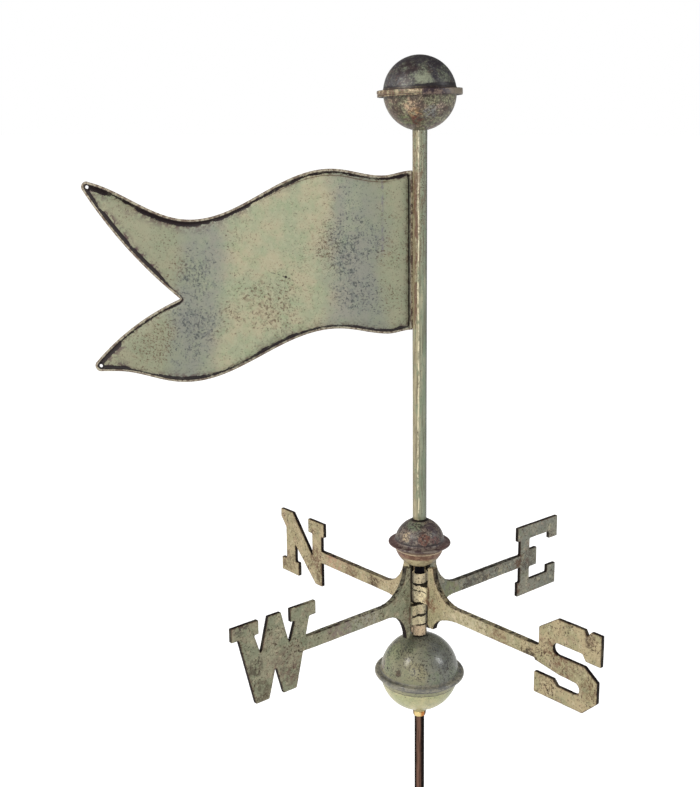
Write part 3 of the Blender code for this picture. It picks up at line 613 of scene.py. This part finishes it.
def rod_finish():
    f = Finish("rod_dark", 0.04)
    streak = f.grain(300, 4, 0.7, 1, (1, 1, 0.05))
    x = f.swayed(f.axis("X"), f.grain(60, 3, 0.6, 2), 0.002)
    # Painted light: brown down the front middle of the rod, near black towards its sides
    f.colour = f.paint(f.band(x, -0.0008, 0.0016, 0.0026), (6, 3, 4), (122, 92, 78))
    f.coat(f.step(streak, 0.46, 0.6), 0.55, (30, 20, 18))
    f.coat(f.specks(0.002, 0.14, 4), 0.5, (110, 88, 74))
    f.cover(f.step(f.axis("Z"), LOWER_BALL_Z, LOWER_BALL_Z + 0.02), (12, 9, 14))
    return f.done(0.5, f.grain(260, 4, 0.7, 5), 0.00012)


def solder_finish():
    f = Finish("solder_grey", 0.4, 0.1)
    cloud = f.grain(220, 5, 0.7, 1)
    f.ground(cloud, 0.44, 0.56, (74, 54, 42), (146, 136, 108))
    f.coat(f.specks(0.003, 0.25, 2), 0.7, SOOT)
    return f.done(0.5, cloud, 0.0003)


def linked(name, data):
    """A new object in the scene."""
    made = bpy.data.objects.new(name, data)
    bpy.context.scene.collection.objects.link(made)
    return made


def baked(rough, name):
    """A mesh of an object with its modifiers, which is made in place of the object."""
    graph = bpy.context.evaluated_depsgraph_get()
    mesh = bpy.data.meshes.new_from_object(rough.evaluated_get(graph))
    bpy.data.objects.remove(rough)
    mesh.name = name
    return mesh


def placed(name, mesh, material, body, node=None, sharp=None):
    """A finished piece at the origin, riding on a body and standing for its solid."""
    mesh.materials.clear()
    mesh.materials.append(material)
    mesh.shade_smooth()
    if sharp:
        mesh.set_sharp_from_angle(angle=math.radians(sharp))
    made = linked(name, mesh)
    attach(made, body)
    if node:
        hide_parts(node)


def mesh_of(shape, name):
    mesh = bpy.data.meshes.new(name)
    bmesh.ops.recalc_face_normals(shape, faces=shape.faces)
    if shape.calc_volume(signed=True) < 0:
        bmesh.ops.reverse_faces(shape, faces=shape.faces)
    shape.to_mesh(mesh)
    shape.free()
    return mesh


def softened(points, rounds=2):
    """Cuts the corners of an open profile, keeping its two ends."""
    for _ in range(rounds):
        cut = [points[0]]
        for (first_x, first_z), (last_x, last_z) in zip(points, points[1:]):
            cut.append((first_x * 0.75 + last_x * 0.25, first_z * 0.75 + last_z * 0.25))
            cut.append((first_x * 0.25 + last_x * 0.75, first_z * 0.25 + last_z * 0.75))
        points = cut + [points[-1]]
    return points


def arc(centre, radius, first, last, steps):
    """Points of an arc between two angles in degrees."""
    turns = [math.radians(first + (last - first) * step / steps) for step in range(steps + 1)]
    return [(centre[0] + radius * math.cos(turn), centre[1] + radius * math.sin(turn)) for turn in turns]


def spun(profile, sides, centre_z=0.0, leans=None, moved=None, ends=None):
    """A mesh turned round Z, closed into a ring, or with a cap on its last row and a cap or pole on its first."""
    shape = bmesh.new()
    rings = []
    for row, (radius, height) in enumerate(profile):
        tilt = Matrix.Rotation(math.radians(leans[row] if leans else 0.0), 4, "Y")
        ring = []
        for side in range(sides):
            turn = math.tau * side / sides
            point = Vector((radius * math.cos(turn), radius * math.sin(turn), height))
            if moved:
                point = moved(row, turn, point)
            ring.append(shape.verts.new(tilt @ point + Vector((0, 0, centre_z))))
        rings.append(ring)
    for upper, lower in zip(rings, rings[1:] + ([] if ends else rings[:1])):
        for side in range(sides):
            after = (side + 1) % sides
            shape.faces.new([upper[side], upper[after], lower[after], lower[side]])
    if ends == "pole":
        pole = shape.verts.new(sum((vert.co for vert in rings[0]), Vector()) / sides)
        for side in range(sides):
            shape.faces.new([pole, rings[0][side], rings[0][(side + 1) % sides]])
    if ends == "cap":
        shape.faces.new(rings[0])
    if ends:
        shape.faces.new(rings[-1])
    return shape


def share_layers(mesh, **layers):
    """Stores one number a point under each name."""
    for name, values in layers.items():
        made = mesh.attributes.new(name, "FLOAT", "POINT")
        made.data.foreach_set("value", np.asarray(values, np.float32))


def ball(name, ball_dia, rim, seams, centre_z, lean, bore, material, body, dent, rim_moved=None, blind=None):
    """A ball of two spun domes and its rim. A seam is two shares of the rim's rows and how dark it is between them.
    A blind bore ends at a height."""
    radius = ball_dia / 2
    top = math.degrees(math.acos(bore / radius))
    upper_end = math.degrees(math.asin(rim[0][1] / radius))
    lower_end = math.degrees(math.asin(rim[-1][1] / radius))
    rim_points = softened(rim, 2)
    upper = arc((0, 0), radius, 89.4 if blind else top, upper_end, 44)[:-1]
    lower = arc((0, 0), radius, lower_end, -top, 44)[1:]
    profile = upper + rim_points + lower
    if blind:
        profile.append((bore, blind - centre_z))
    rim_rows = range(len(upper), len(upper) + len(rim_points))
    leans = [lean * min(1.0, max(0.0, reach / bore - 1.0)) for reach, _ in profile]
    if blind:
        leans[:len(upper)] = [lean] * len(upper)

    def uneven(row, turn, point):
        if row in rim_rows:
            return rim_moved(row - rim_rows[0], len(rim_points), turn, point) if rim_moved else point
        if leans[row] != lean:
            return point
        sway = noise.noise(point * 38.0 + Vector((lean, 0, 1))) + 0.5 * noise.noise(point * 95.0)
        return point * (1.0 - dent * (1.0 + sway) / radius)

    shape = spun(profile, BALL_SIDES, centre_z, leans, uneven, "pole" if blind else None)
    shares = []
    for row, (_, height) in enumerate(profile):
        on_rim = row in rim_rows
        share = (row - rim_rows[0]) / len(rim_points) if on_rim else -2.0
        seam = max(dark if low < share < high else 0.0 for low, high, dark in seams)
        shares += [(height / radius, on_rim, seam)] * BALL_SIDES
    if blind:
        shares.append((1.0, 0.0, 0.0))
    rise, on_rim, seam = zip(*shares)
    mesh = mesh_of(shape, name)
    share_layers(mesh, rise_share=rise, rim_share=on_rim, seam_share=seam)
    placed(name, mesh, material, body, name, SHARP)


def make_balls():
    rod_bore = ROD_DIA / 2 + GAP
    half = LOWER_BEAD_THICK / 2
    root, edge = LOWER_BALL_DIA / 2, LOWER_BEAD_DIA / 2
    bead = [(root, half), (root + 0.0010, half * 0.72)]
    for step in range(9):
        angle = math.radians(110 - 27 * step)
        bead.append((edge - half * 0.82 + half * 0.82 * math.cos(angle), half * 0.9 * math.sin(angle)))
    bead += [(root + half / 3, -half), (root + half / 3, -1.5 * half)]
    bead += [(root + 0.0002, -1.7 * half), (root, -2.1 * half)]
    ball("lower_ball", LOWER_BALL_DIA, bead, [(0.62, 0.80, 0.95)], LOWER_BALL_Z, 2.2, rod_bore,
         lower_ball_finish(), "stand", 0.00012)

    root, edge = SMALL_BALL_DIA / 2, SMALL_FLANGE_DIA / 2
    flange = [
        (root, 0.0034), (root + 0.0009, 0.0020), (edge - 0.0026, 0.0010), (edge - 0.0009, 0.0013), (edge, 0.0006),
        (edge, -0.0008), (edge - 0.0012, -0.0012), (root + 0.0030, -0.0014), (root + 0.0022, -0.0030),
        (root + 0.0012, -0.0036), (root, -0.0046),
    ]
    ball("small_ball", SMALL_BALL_DIA, flange, [(0.66, 0.76, 0.7)], SMALL_BALL_Z, 1.7, rod_bore,
         small_ball_finish(), "stand", 0.00016)

    root, edge = TOP_BALL_DIA / 2, TOP_RIM_DIA / 2
    half, wall = TOP_RIM_HEIGHT / 2, TOP_RIM_WALL
    fold = [
        (root, half + 0.0010), (root + 0.0004, half * 0.9), (edge - wall, half), (edge - 0.0004, half * 0.95),
        (edge, half * 0.6), (edge, 0.0), (edge, -half * 0.7), (edge - 0.0004, -half), (edge - wall + 0.0004, -half),
        (edge - wall, -half * 0.8), (edge - wall, -half * 0.2), (root + 0.0006, -half * 0.2), (root, -half * 0.6),
    ]

    def lapped(row, rows, turn, point):
        """The band's left front is doubled and has a line along it, up to the lap."""
        share = row / rows
        if not 0.30 < share < 0.60:
            return point
        lap = math.radians(272)
        depth = 0.0004
        if math.pi < turn < lap:
            depth = 0.0007 if 0.42 < share < 0.49 else 0.0
        flat = point.xy.normalized() * depth
        return point - Vector((flat.x, flat.y, 0))

    ball("top_ball", TOP_BALL_DIA, fold, [(0.68, 1.0, 0.85), (-1.0, 0.10, 0.5)], TOP_BALL_Z, -2.2,
         TUBE_DIA / 2 + GAP, top_ball_finish(), "vane", 0.00014, lapped, TUBE_TOP_Z + GAP)


def turned(name, profile, sides, ends, material, body):
    """A piece turned round Z that stands for the solid of its name."""
    placed(name, mesh_of(spun(profile, sides, ends=ends), name), material, body, name, SHARP)


def make_rod_and_tube():
    radius, chamfer, spacing = ROD_DIA / 2, 0.001, 0.01
    levels = [step * spacing for step in range(int(ROD_TOP_Z / spacing))] + [ROD_TOP_Z - chamfer]
    profile = [(radius, level) for level in levels] + [(radius - chamfer, ROD_TOP_Z)]
    turned("rod", profile, 64, "cap", rod_finish(), "stand")

    inner, outer = ROD_DIA / 2 + 0.0006, TUBE_DIA / 2
    profile = [(inner, ROD_TOP_Z + GAP), (inner, TUBE_Z + 0.0004), (inner + 0.0004, TUBE_Z)]
    profile += [(outer - 0.0006, TUBE_Z), (outer, TUBE_Z + 0.0006)]
    profile += [(outer, TUBE_Z + spacing * step) for step in range(1, 50)] + [(outer, TUBE_TOP_Z)]
    turned("vane_tube", profile, 96, "cap", tube_finish(), "vane")

    low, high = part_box("ferrule")[0].z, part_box("ferrule")[1].z
    bore, outer = ROD_DIA / 2 + GAP, FERRULE_DIA / 2
    profile = [(bore, high), (outer - 0.0004, high), (outer, high - 0.0005), (outer, high - 0.0052)]
    profile += [(outer - 0.0004, high - 0.0056), (outer, high - 0.0060)]
    for step in range(9):
        angle = math.pi / 2 * step / 8
        profile.append((outer - 0.0016 * (1 - math.cos(angle)), low + FERRULE_NOSE * (1 - math.sin(angle))))
    turned("ferrule", profile + [(bore, low)], 96, None, brass_finish(), "stand")


# Flag outline, as distance from the hoist and height over the hoist's middle
HOIST = 0.1910
FLAG_TOP = [(0.0, HOIST / 2), (0.036, 0.0896), (0.096, 0.0974), (0.266, 0.0374), (0.405, 0.0840)]
FLAG_BOTTOM = [(0.0, -HOIST / 2), (0.030, -0.1005), (0.088, -0.0942), (0.280, -0.1612), (0.362, -0.1476)]
UPPER_TIP, LOWER_TIP, NOTCH = (0.3858, 0.0755), (0.3818, -0.1408), (0.2810, -0.0580)
UPPER_TIP_RADIUS, LOWER_TIP_RADIUS, TAIL_BOW = 0.00675, 0.0070, 0.0070
SEAM_WIDTH, SHELL_SHOULDER, SHELL_SWELL, RIPPLE = 0.0037, 0.0120, 0.0068, 0.0012
HOLE_RADIUS, EDGE_STEP, GRID_STEP = 0.0021, 0.0026, 0.0042
EDGE_ROWS = [
    0.0004, 0.0009, 0.0018, 0.0028, 0.0033, 0.0037, 0.0041, 0.0046, 0.0053, 0.0063, 0.0077, 0.0096, 0.0122, 0.0157,
]


def wave(turns, along):
    """The height along an edge, by half cosine waves between its turns."""
    for (start, first), (end, last) in zip(turns, turns[1:]):
        if along <= end:
            return (first + last) / 2 + (first - last) / 2 * math.cos(math.pi * (along - start) / (end - start))
    return turns[-1][1]


def waved(turns, length):
    """The points of a wavy edge from the hoist to a length."""
    steps = round(length / EDGE_STEP)
    return [(length * s / steps, wave(turns, length * s / steps)) for s in range(steps + 1)]


def bowed(start, end, bow):
    run = Vector(end) - Vector(start)
    side = Vector((-run.y, run.x)).normalized()
    steps = round(run.length / EDGE_STEP)
    bend = side * bow * 4
    return [tuple(Vector(start) + run * s / steps + bend * s / steps * (1 - s / steps)) for s in range(1, steps)]


def flag_outline():
    points = waved(FLAG_TOP, UPPER_TIP[0])[:-1]
    upper = arc(UPPER_TIP, UPPER_TIP_RADIUS, 86, -34, 12)
    lower = arc(LOWER_TIP, LOWER_TIP_RADIUS, 46, -86, 12)
    points += upper + bowed(upper[-1], NOTCH, TAIL_BOW) + [NOTCH] + bowed(NOTCH, lower[0], TAIL_BOW) + lower
    points += waved(FLAG_BOTTOM, LOWER_TIP[0])[-2::-1]
    steps = round(HOIST / EDGE_STEP)
    return points + [(0.0, HOIST * (s / steps - 0.5)) for s in range(1, steps)]


def edge_depths(points, outline):
    """Distance of each point from the nearest side of the outline."""
    starts = np.array(outline)
    runs = np.roll(starts, -1, axis=0) - starts
    found = []
    for chunk in np.array_split(np.array(points, float), max(1, len(points) // 1500)):
        gaps = chunk[:, None, :] - starts[None]
        shares = np.clip((gaps * runs).sum(2) / (runs**2).sum(1), 0, 1)
        found.append(np.sqrt(((gaps - runs * shares[..., None]) ** 2).sum(2)).min(1))
    return np.concatenate(found)


def within(points, outline):
    """Whether each point lies inside the outline."""
    points = np.array(points, float)
    starts = np.array(outline)
    ends = np.roll(starts, -1, axis=0)
    inside = np.zeros(len(points), bool)
    for (x0, y0), (x1, y1) in zip(starts, ends):
        if y0 == y1:
            continue
        spans = (y0 > points[:, 1]) != (y1 > points[:, 1])
        crossing = x0 + (x1 - x0) * (points[:, 1] - y0) / (y1 - y0)
        inside ^= spans & (points[:, 0] < crossing)
    return inside


def shell_half(along, depth):
    """Half the flag's thickness: crimped edge, flat seam, a recess, and then the shell's rounded shoulder."""
    lip = 0.00042 + 0.00036 * np.sqrt(np.clip(depth / 0.0008, 0, 1))
    recess = 0.00022 * np.exp(-(((depth - SEAM_WIDTH) / 0.0006) ** 2))
    share = np.clip((depth - SEAM_WIDTH) / SHELL_SHOULDER, 0, 1)
    rounded = np.sqrt(1 - (1 - share) ** 2)
    crest, trough = FLAG_TOP[2][0], FLAG_TOP[3][0]
    ripple = RIPPLE * np.cos(math.pi * (along - crest) / (trough - crest) + math.pi / 4)
    return lip - recess + (SHELL_SWELL - 0.0002 + ripple * share) * rounded


def tip_gaps(points):
    """Distance of each point from the nearer hole."""
    return np.min([np.hypot(*(points - tip).T) for tip in (UPPER_TIP, LOWER_TIP)], axis=0)


def make_flag():
    outline = flag_outline()
    holes = [arc(tip, HOLE_RADIUS, 0, 345, 23) for tip in (UPPER_TIP, LOWER_TIP)]
    base = np.array(outline)
    run = np.roll(base, -1, axis=0) - np.roll(base, 1, axis=0)
    inward = np.stack([run[:, 1], -run[:, 0]], axis=1) / np.linalg.norm(run, axis=1)[:, None]
    loose = []
    for depth in EDGE_ROWS:
        ring = base + inward * depth
        keep = within(ring, outline) & (edge_depths(ring, outline) > 0.985 * depth)
        loose.append(ring[keep])
    across, up = np.arange(0.004, 0.40, GRID_STEP), np.arange(-0.17, 0.11, GRID_STEP)
    grid = np.stack(np.meshgrid(across, up), -1).reshape(-1, 2)
    loose.append(grid[within(grid, outline) & (edge_depths(grid, outline) > 0.0178)])
    loose = np.concatenate(loose)
    clear = tip_gaps(loose) > 0.0026
    _, first = np.unique(np.round(loose / 0.0005), axis=0, return_index=True)
    loose = loose[np.intersect1d(first, np.nonzero(clear)[0])]
    points, sides = [], []
    for ring in [outline, *holes]:
        start, count = len(points), len(ring)
        points += map(Vector, ring)
        sides += [(start + index, start + (index + 1) % count) for index in range(count)]
    points += map(Vector, loose.tolist())
    made, _, triangles, *_ = delaunay_2d_cdt(points, sides, [], 1, 1e-7)
    flat = np.array([tuple(point) for point in made])
    corners = np.array([list(triangle) for triangle in triangles])
    middles = flat[corners].mean(axis=1)
    keep = within(middles, outline) & ~within(middles, holes[0]) & ~within(middles, holes[1])
    corners = corners[keep]
    depth = edge_depths(flat, outline)
    half = shell_half(flat[:, 0], depth)
    half = np.where(tip_gaps(flat) < 0.0040, np.minimum(half, 0.00078), half)
    coarse = [noise.noise(Vector((x * 26, 0.4, z * 26))) for x, z in flat]
    uneven = [slow + 0.4 * noise.noise(Vector((x * 70, 2.4, z * 70))) for slow, (x, z) in zip(coarse, flat)]
    half = half - 0.00022 * (1 + np.array(uneven)) * np.clip((depth - 0.005) / 0.01, 0, 1)
    shape = bmesh.new()
    layers = []
    for side in (-1, 1):
        layers.append([shape.verts.new((-FLAG_START - x, side * h, FLAG_Z + z)) for (x, z), h in zip(flat, half)])
    uses = {}
    for triangle in corners:
        for layer in layers:
            shape.faces.new([layer[index] for index in triangle])
        for index in range(3):
            edge = frozenset((int(triangle[index]), int(triangle[index - 1])))
            uses[edge] = uses.get(edge, 0) + 1
    for edge, count in uses.items():
        if count == 1:
            first, last = edge
            shape.faces.new([layers[0][first], layers[0][last], layers[1][last], layers[1][first]])
    used = np.array([bool(vert.link_faces) for vert in shape.verts])
    bmesh.ops.delete(shape, geom=[vert for vert in shape.verts if not vert.link_faces], context="VERTS")
    mesh = mesh_of(shape, "flag")
    share_layers(mesh, depth_mm=np.concatenate([depth, depth])[used] * 1000)
    placed("flag", mesh, flag_finish(), "vane", "flag", 40)


def solder_tree(material):
    """Two lumpy beads of solder along a straight seam, one to each side of it."""
    tree = bpy.data.node_groups.new("solder_beads", "GeometryNodeTree")
    sorts = {"Foot": "Vector", "Head": "Vector", "Apart": "Vector", "Thickness": "Float", "Lumps": "Float"}
    for name, kind in sorts.items():
        tree.interface.new_socket(name, in_out="INPUT", socket_type="NodeSocket" + kind)
    tree.interface.new_socket("Beads", in_out="OUTPUT", socket_type="NodeSocketGeometry")
    given = tree.nodes.new("NodeGroupInput").outputs

    def shape(kind, **inputs):
        named = {name.replace("_", " "): value for name, value in inputs.items()}
        return added(tree, "GeometryNode" + kind, named)[0]

    def sum(kind, *terms):
        return added(tree, "ShaderNodeMath", enumerate(terms), operation=kind)[0]

    both = tree.nodes.new("GeometryNodeJoinGeometry")
    for kind in ("ADD", "SUBTRACT"):
        foot, head = (
            added(tree, "ShaderNodeVectorMath", {0: given[end], 1: given["Apart"]}, operation=kind)[0]
            for end in ("Foot", "Head"))
        tree.links.new(shape("CurvePrimitiveLine", Start=foot, End=head), both.inputs[0])
    share = shape("SplineParameter")
    from_end = sum("MINIMUM", share, sum("SUBTRACT", 1.0, share))
    ends = added(tree, "ShaderNodeMapRange", {"Value": from_end, "From Max": 0.07, "To Min": 0.25})[0]
    wander = added(tree, "ShaderNodeTexNoise", {"Vector": shape("InputPosition"), "Scale": 150.0, "Detail": 3.0})[0]
    girth = sum("MULTIPLY", sum("MULTIPLY_ADD", sum("SUBTRACT", wander, 0.5), given["Lumps"], 1.0), ends)
    seam = shape("ResampleCurve", Curve=both.outputs[0], Count=150)
    section = shape("CurvePrimitiveCircle", Resolution=12, Radius=given["Thickness"])
    beads = shape("CurveToMesh", Curve=seam, Profile_Curve=section, Scale=girth, Fill_Caps=True)
    beads = shape("SetMaterial", Geometry=shape("RealizeInstances", Geometry=beads), Material=material)
    tree.links.new(beads, tree.nodes.new("NodeGroupOutput").inputs[0])
    return tree


def make_solder():
    """Two uneven fillets where the flag's hoist meets the tube."""
    material = solder_finish()
    tree = solder_tree(material)
    seam = linked("solder_seam", bpy.data.meshes.new("solder_seam"))
    nodes = seam.modifiers.new("beads", "NODES")
    nodes.node_group = tree
    reach = HOIST / 2 * 0.985
    foot, head = ((-FLAG_START - 0.0001, 0, FLAG_Z + end * reach) for end in (-1, 1))
    sizes = {"Foot": foot, "Head": head, "Apart": (0, 0.0012, 0), "Thickness": 0.0015, "Lumps": 1.1}
    for item in tree.interface.items_tree:
        if item.name in sizes:
            nodes[item.identifier] = sizes[item.name]
    placed("hoist_solder", baked(seam, "hoist_solder"), material, "vane")


def make_directional(key, quarter, material):
    """The casting's own solid, remeshed finely, with its corners eased and its faces uneven."""
    name = "directional_" + key
    turn = Matrix.Rotation(math.radians(FIRST_ARM_TURN + 90 * quarter), 4, "Z")
    shape = bmesh.new()
    shape.from_mesh(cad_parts[name].data)
    bmesh.ops.remove_doubles(shape, verts=shape.verts, dist=1e-5)
    bmesh.ops.transform(shape, matrix=turn.inverted(), verts=shape.verts)
    rough = linked(name + "_rough", mesh_of(shape, name + "_rough"))
    remesh = rough.modifiers.new("cast", "REMESH")
    remesh.mode = "VOXEL"
    remesh.voxel_size = 0.0008
    smooth = rough.modifiers.new("eased", "SMOOTH")
    smooth.factor = 0.5
    smooth.iterations = 3
    mesh = baked(rough, name)
    points, normals = (np.empty((len(mesh.vertices), 3), np.float32) for _ in range(2))
    mesh.vertices.foreach_get("co", points.ravel())
    mesh.vertices.foreach_get("normal", normals.ravel())
    seed = Vector((quarter * 3.1, 0.7, quarter * 1.7))
    lift = []
    for place in map(Vector, points.tolist()):
        swell = noise.noise(place * 60 + seed) + 0.5 * noise.noise(place * 170 + seed)
        lift.append(swell + 0.3 * noise.noise(place * 420))
    eye_gap = np.hypot(points[:, 0], points[:, 1])
    calm = np.clip((eye_gap - 0.008) / 0.004, 0.15, 1.0)
    points += normals * (0.00016 * (np.array(lift) - 1.0) * calm)[:, None]
    flank = np.where(eye_gap < 0.0135, 0, 1 - np.abs(normals[:, 1]))
    mesh.vertices.foreach_set("co", points.ravel())
    mesh.transform(turn)
    mesh.update()
    on_eye = np.clip((0.0125 - eye_gap) / 0.001, 0, 1)
    share_layers(mesh, flank_share=flank, top_share=np.clip(normals[:, 2], 0, 1), eye_share=on_eye)
    placed(name, mesh, material, "stand", name)


def make_directionals():
    """East, north, west and south: face, tint, eye, brown, paler top, shade, seed and stains of each."""
    # East and west face the right front and are given darker, greyer faces than north and south: partly painted
    # shade, partly their own patina
    for quarter, (name, *looks) in enumerate([
        ("east", (152, 150, 134), (138, 140, 128), (226, 210, 174), 0.75, 0.50, 0.0155, 2.0, EAST_MARKS),
        ("north", (184, 169, 136), (170, 160, 126), (232, 206, 172), 0.80, 0.55, 0.0155, 12.0, NORTH_MARKS),
        ("west", (166, 162, 136), (150, 153, 127), (240, 226, 186), 0.65, 0.85, 0.0102, 22.0, WEST_MARKS),
        ("south", (180, 166, 132), (164, 157, 123), (244, 230, 190), 0.75, 0.85, 0.0102, 32.0, SOUTH_MARKS),
    ]):
        make_directional(name[0], quarter, cast_finish(name + "_patina", *looks))


def make_stage():
    """A white floor and studio, a bright left side, a dimmer right one and a soft back, and the camera."""
    scene = bpy.context.scene
    bpy.ops.mesh.primitive_plane_add(size=600, location=(0, 0, -GAP))
    floor = bpy.context.object
    floor.name = "floor"
    paper = bpy.data.materials.new("floor_white")
    paper.use_nodes = True
    tree = paper.node_tree
    seen = added(tree, "ShaderNodeLightPath")["Is Camera Ray"]
    glow = added(tree, "ShaderNodeMapRange", {"Value": seen, "To Min": 0.62, "To Max": 1.0})["Result"]
    for name, value in {
        "Base Color": (0.35, 0.35, 0.35, 1), "Roughness": 0.9, "Specular IOR Level": 0.0,
        "Emission Color": (1, 1, 1, 1), "Emission Strength": glow,
    }.items():
        put(tree, tree.nodes["Principled BSDF"].inputs[name], value)
    floor.data.materials.append(paper)

    world = bpy.data.worlds.new("studio")
    scene.world = world
    world.use_nodes = True
    tree = world.node_tree
    split = added(tree, "ShaderNodeSeparateXYZ", {0: added(tree, "ShaderNodeTexCoord")["Generated"]})
    light = None
    for axis, low, high, first, last in (
        ("Z", 0.10, 0.80, 1.0, 0.28), ("X", -0.8, 0.8, 1.0, 0.42), ("Y", -0.1, 0.7, 1.05, 0.38),
    ):
        ends = {"Value": split[axis], "From Min": low, "From Max": high, "To Min": first, "To Max": last}
        fall = added(tree, "ShaderNodeMapRange", ends, interpolation_type="SMOOTHSTEP")["Result"]
        light = added(tree, "ShaderNodeMath", {0: light, 1: fall}, operation="MULTIPLY")[0] if light else fall
    seen = added(tree, "ShaderNodeLightPath")["Is Camera Ray"]
    lit = added(tree, "ShaderNodeMath", {0: seen, 1: light}, operation="MAXIMUM")[0]
    put(tree, tree.nodes["Background"].inputs["Strength"], lit)
    put(tree, tree.nodes["Background"].inputs["Color"], (1, 1, 1, 1))

    lamps = {
        "left_lamp": ((-1.36, -1.09, 1.72), 0.26, 0.70, 21.0, (1.0, 0.95, 0.89)),
        "right_lamp": ((1.63, -0.31, 1.22), 0.22, 0.60, 7.0, (0.97, 0.99, 1.0)),
        "front_lamp": ((-0.8, -2.6, 1.2), 1.2, 1.2, 10.0, (1.0, 0.99, 0.97)),
        "back_lamp": ((0.5, 2.6, 1.3), 1.4, 1.4, 26.0, (1.0, 0.98, 0.95)),
    }
    for name, (place, wide, high, power, colour) in lamps.items():
        data = bpy.data.lights.new(name, "AREA")
        data.shape = "RECTANGLE"
        data.size, data.size_y = wide, high
        data.energy, data.color = power, colour
        lamp = linked(name, data)
        lamp.location = place
        lamp.visible_camera = False
        lamp.visible_glossy = name != "back_lamp"
        aim = Vector((0, 0, 0.45)) - Vector(place)
        lamp.rotation_euler = aim.to_track_quat("-Z", "Y").to_euler()

    data = bpy.data.cameras.new("camera")
    data.lens, data.sensor_width = 51.23, 36.0
    data.shift_x, data.shift_y = -0.0910, -0.0184
    data.clip_start, data.clip_end = 0.05, 200.0
    camera = linked("camera", data)
    camera.location = (0.0, -1.3467, 0.8775)
    camera.rotation_euler = Euler((math.radians(90 - 12.467), math.radians(-0.07), math.radians(-0.086)))
    scene.camera = camera
    scene.view_settings.view_transform = "Standard"


make_stage()
make_rod_and_tube()
make_balls()
make_flag()
make_solder()
make_directionals()
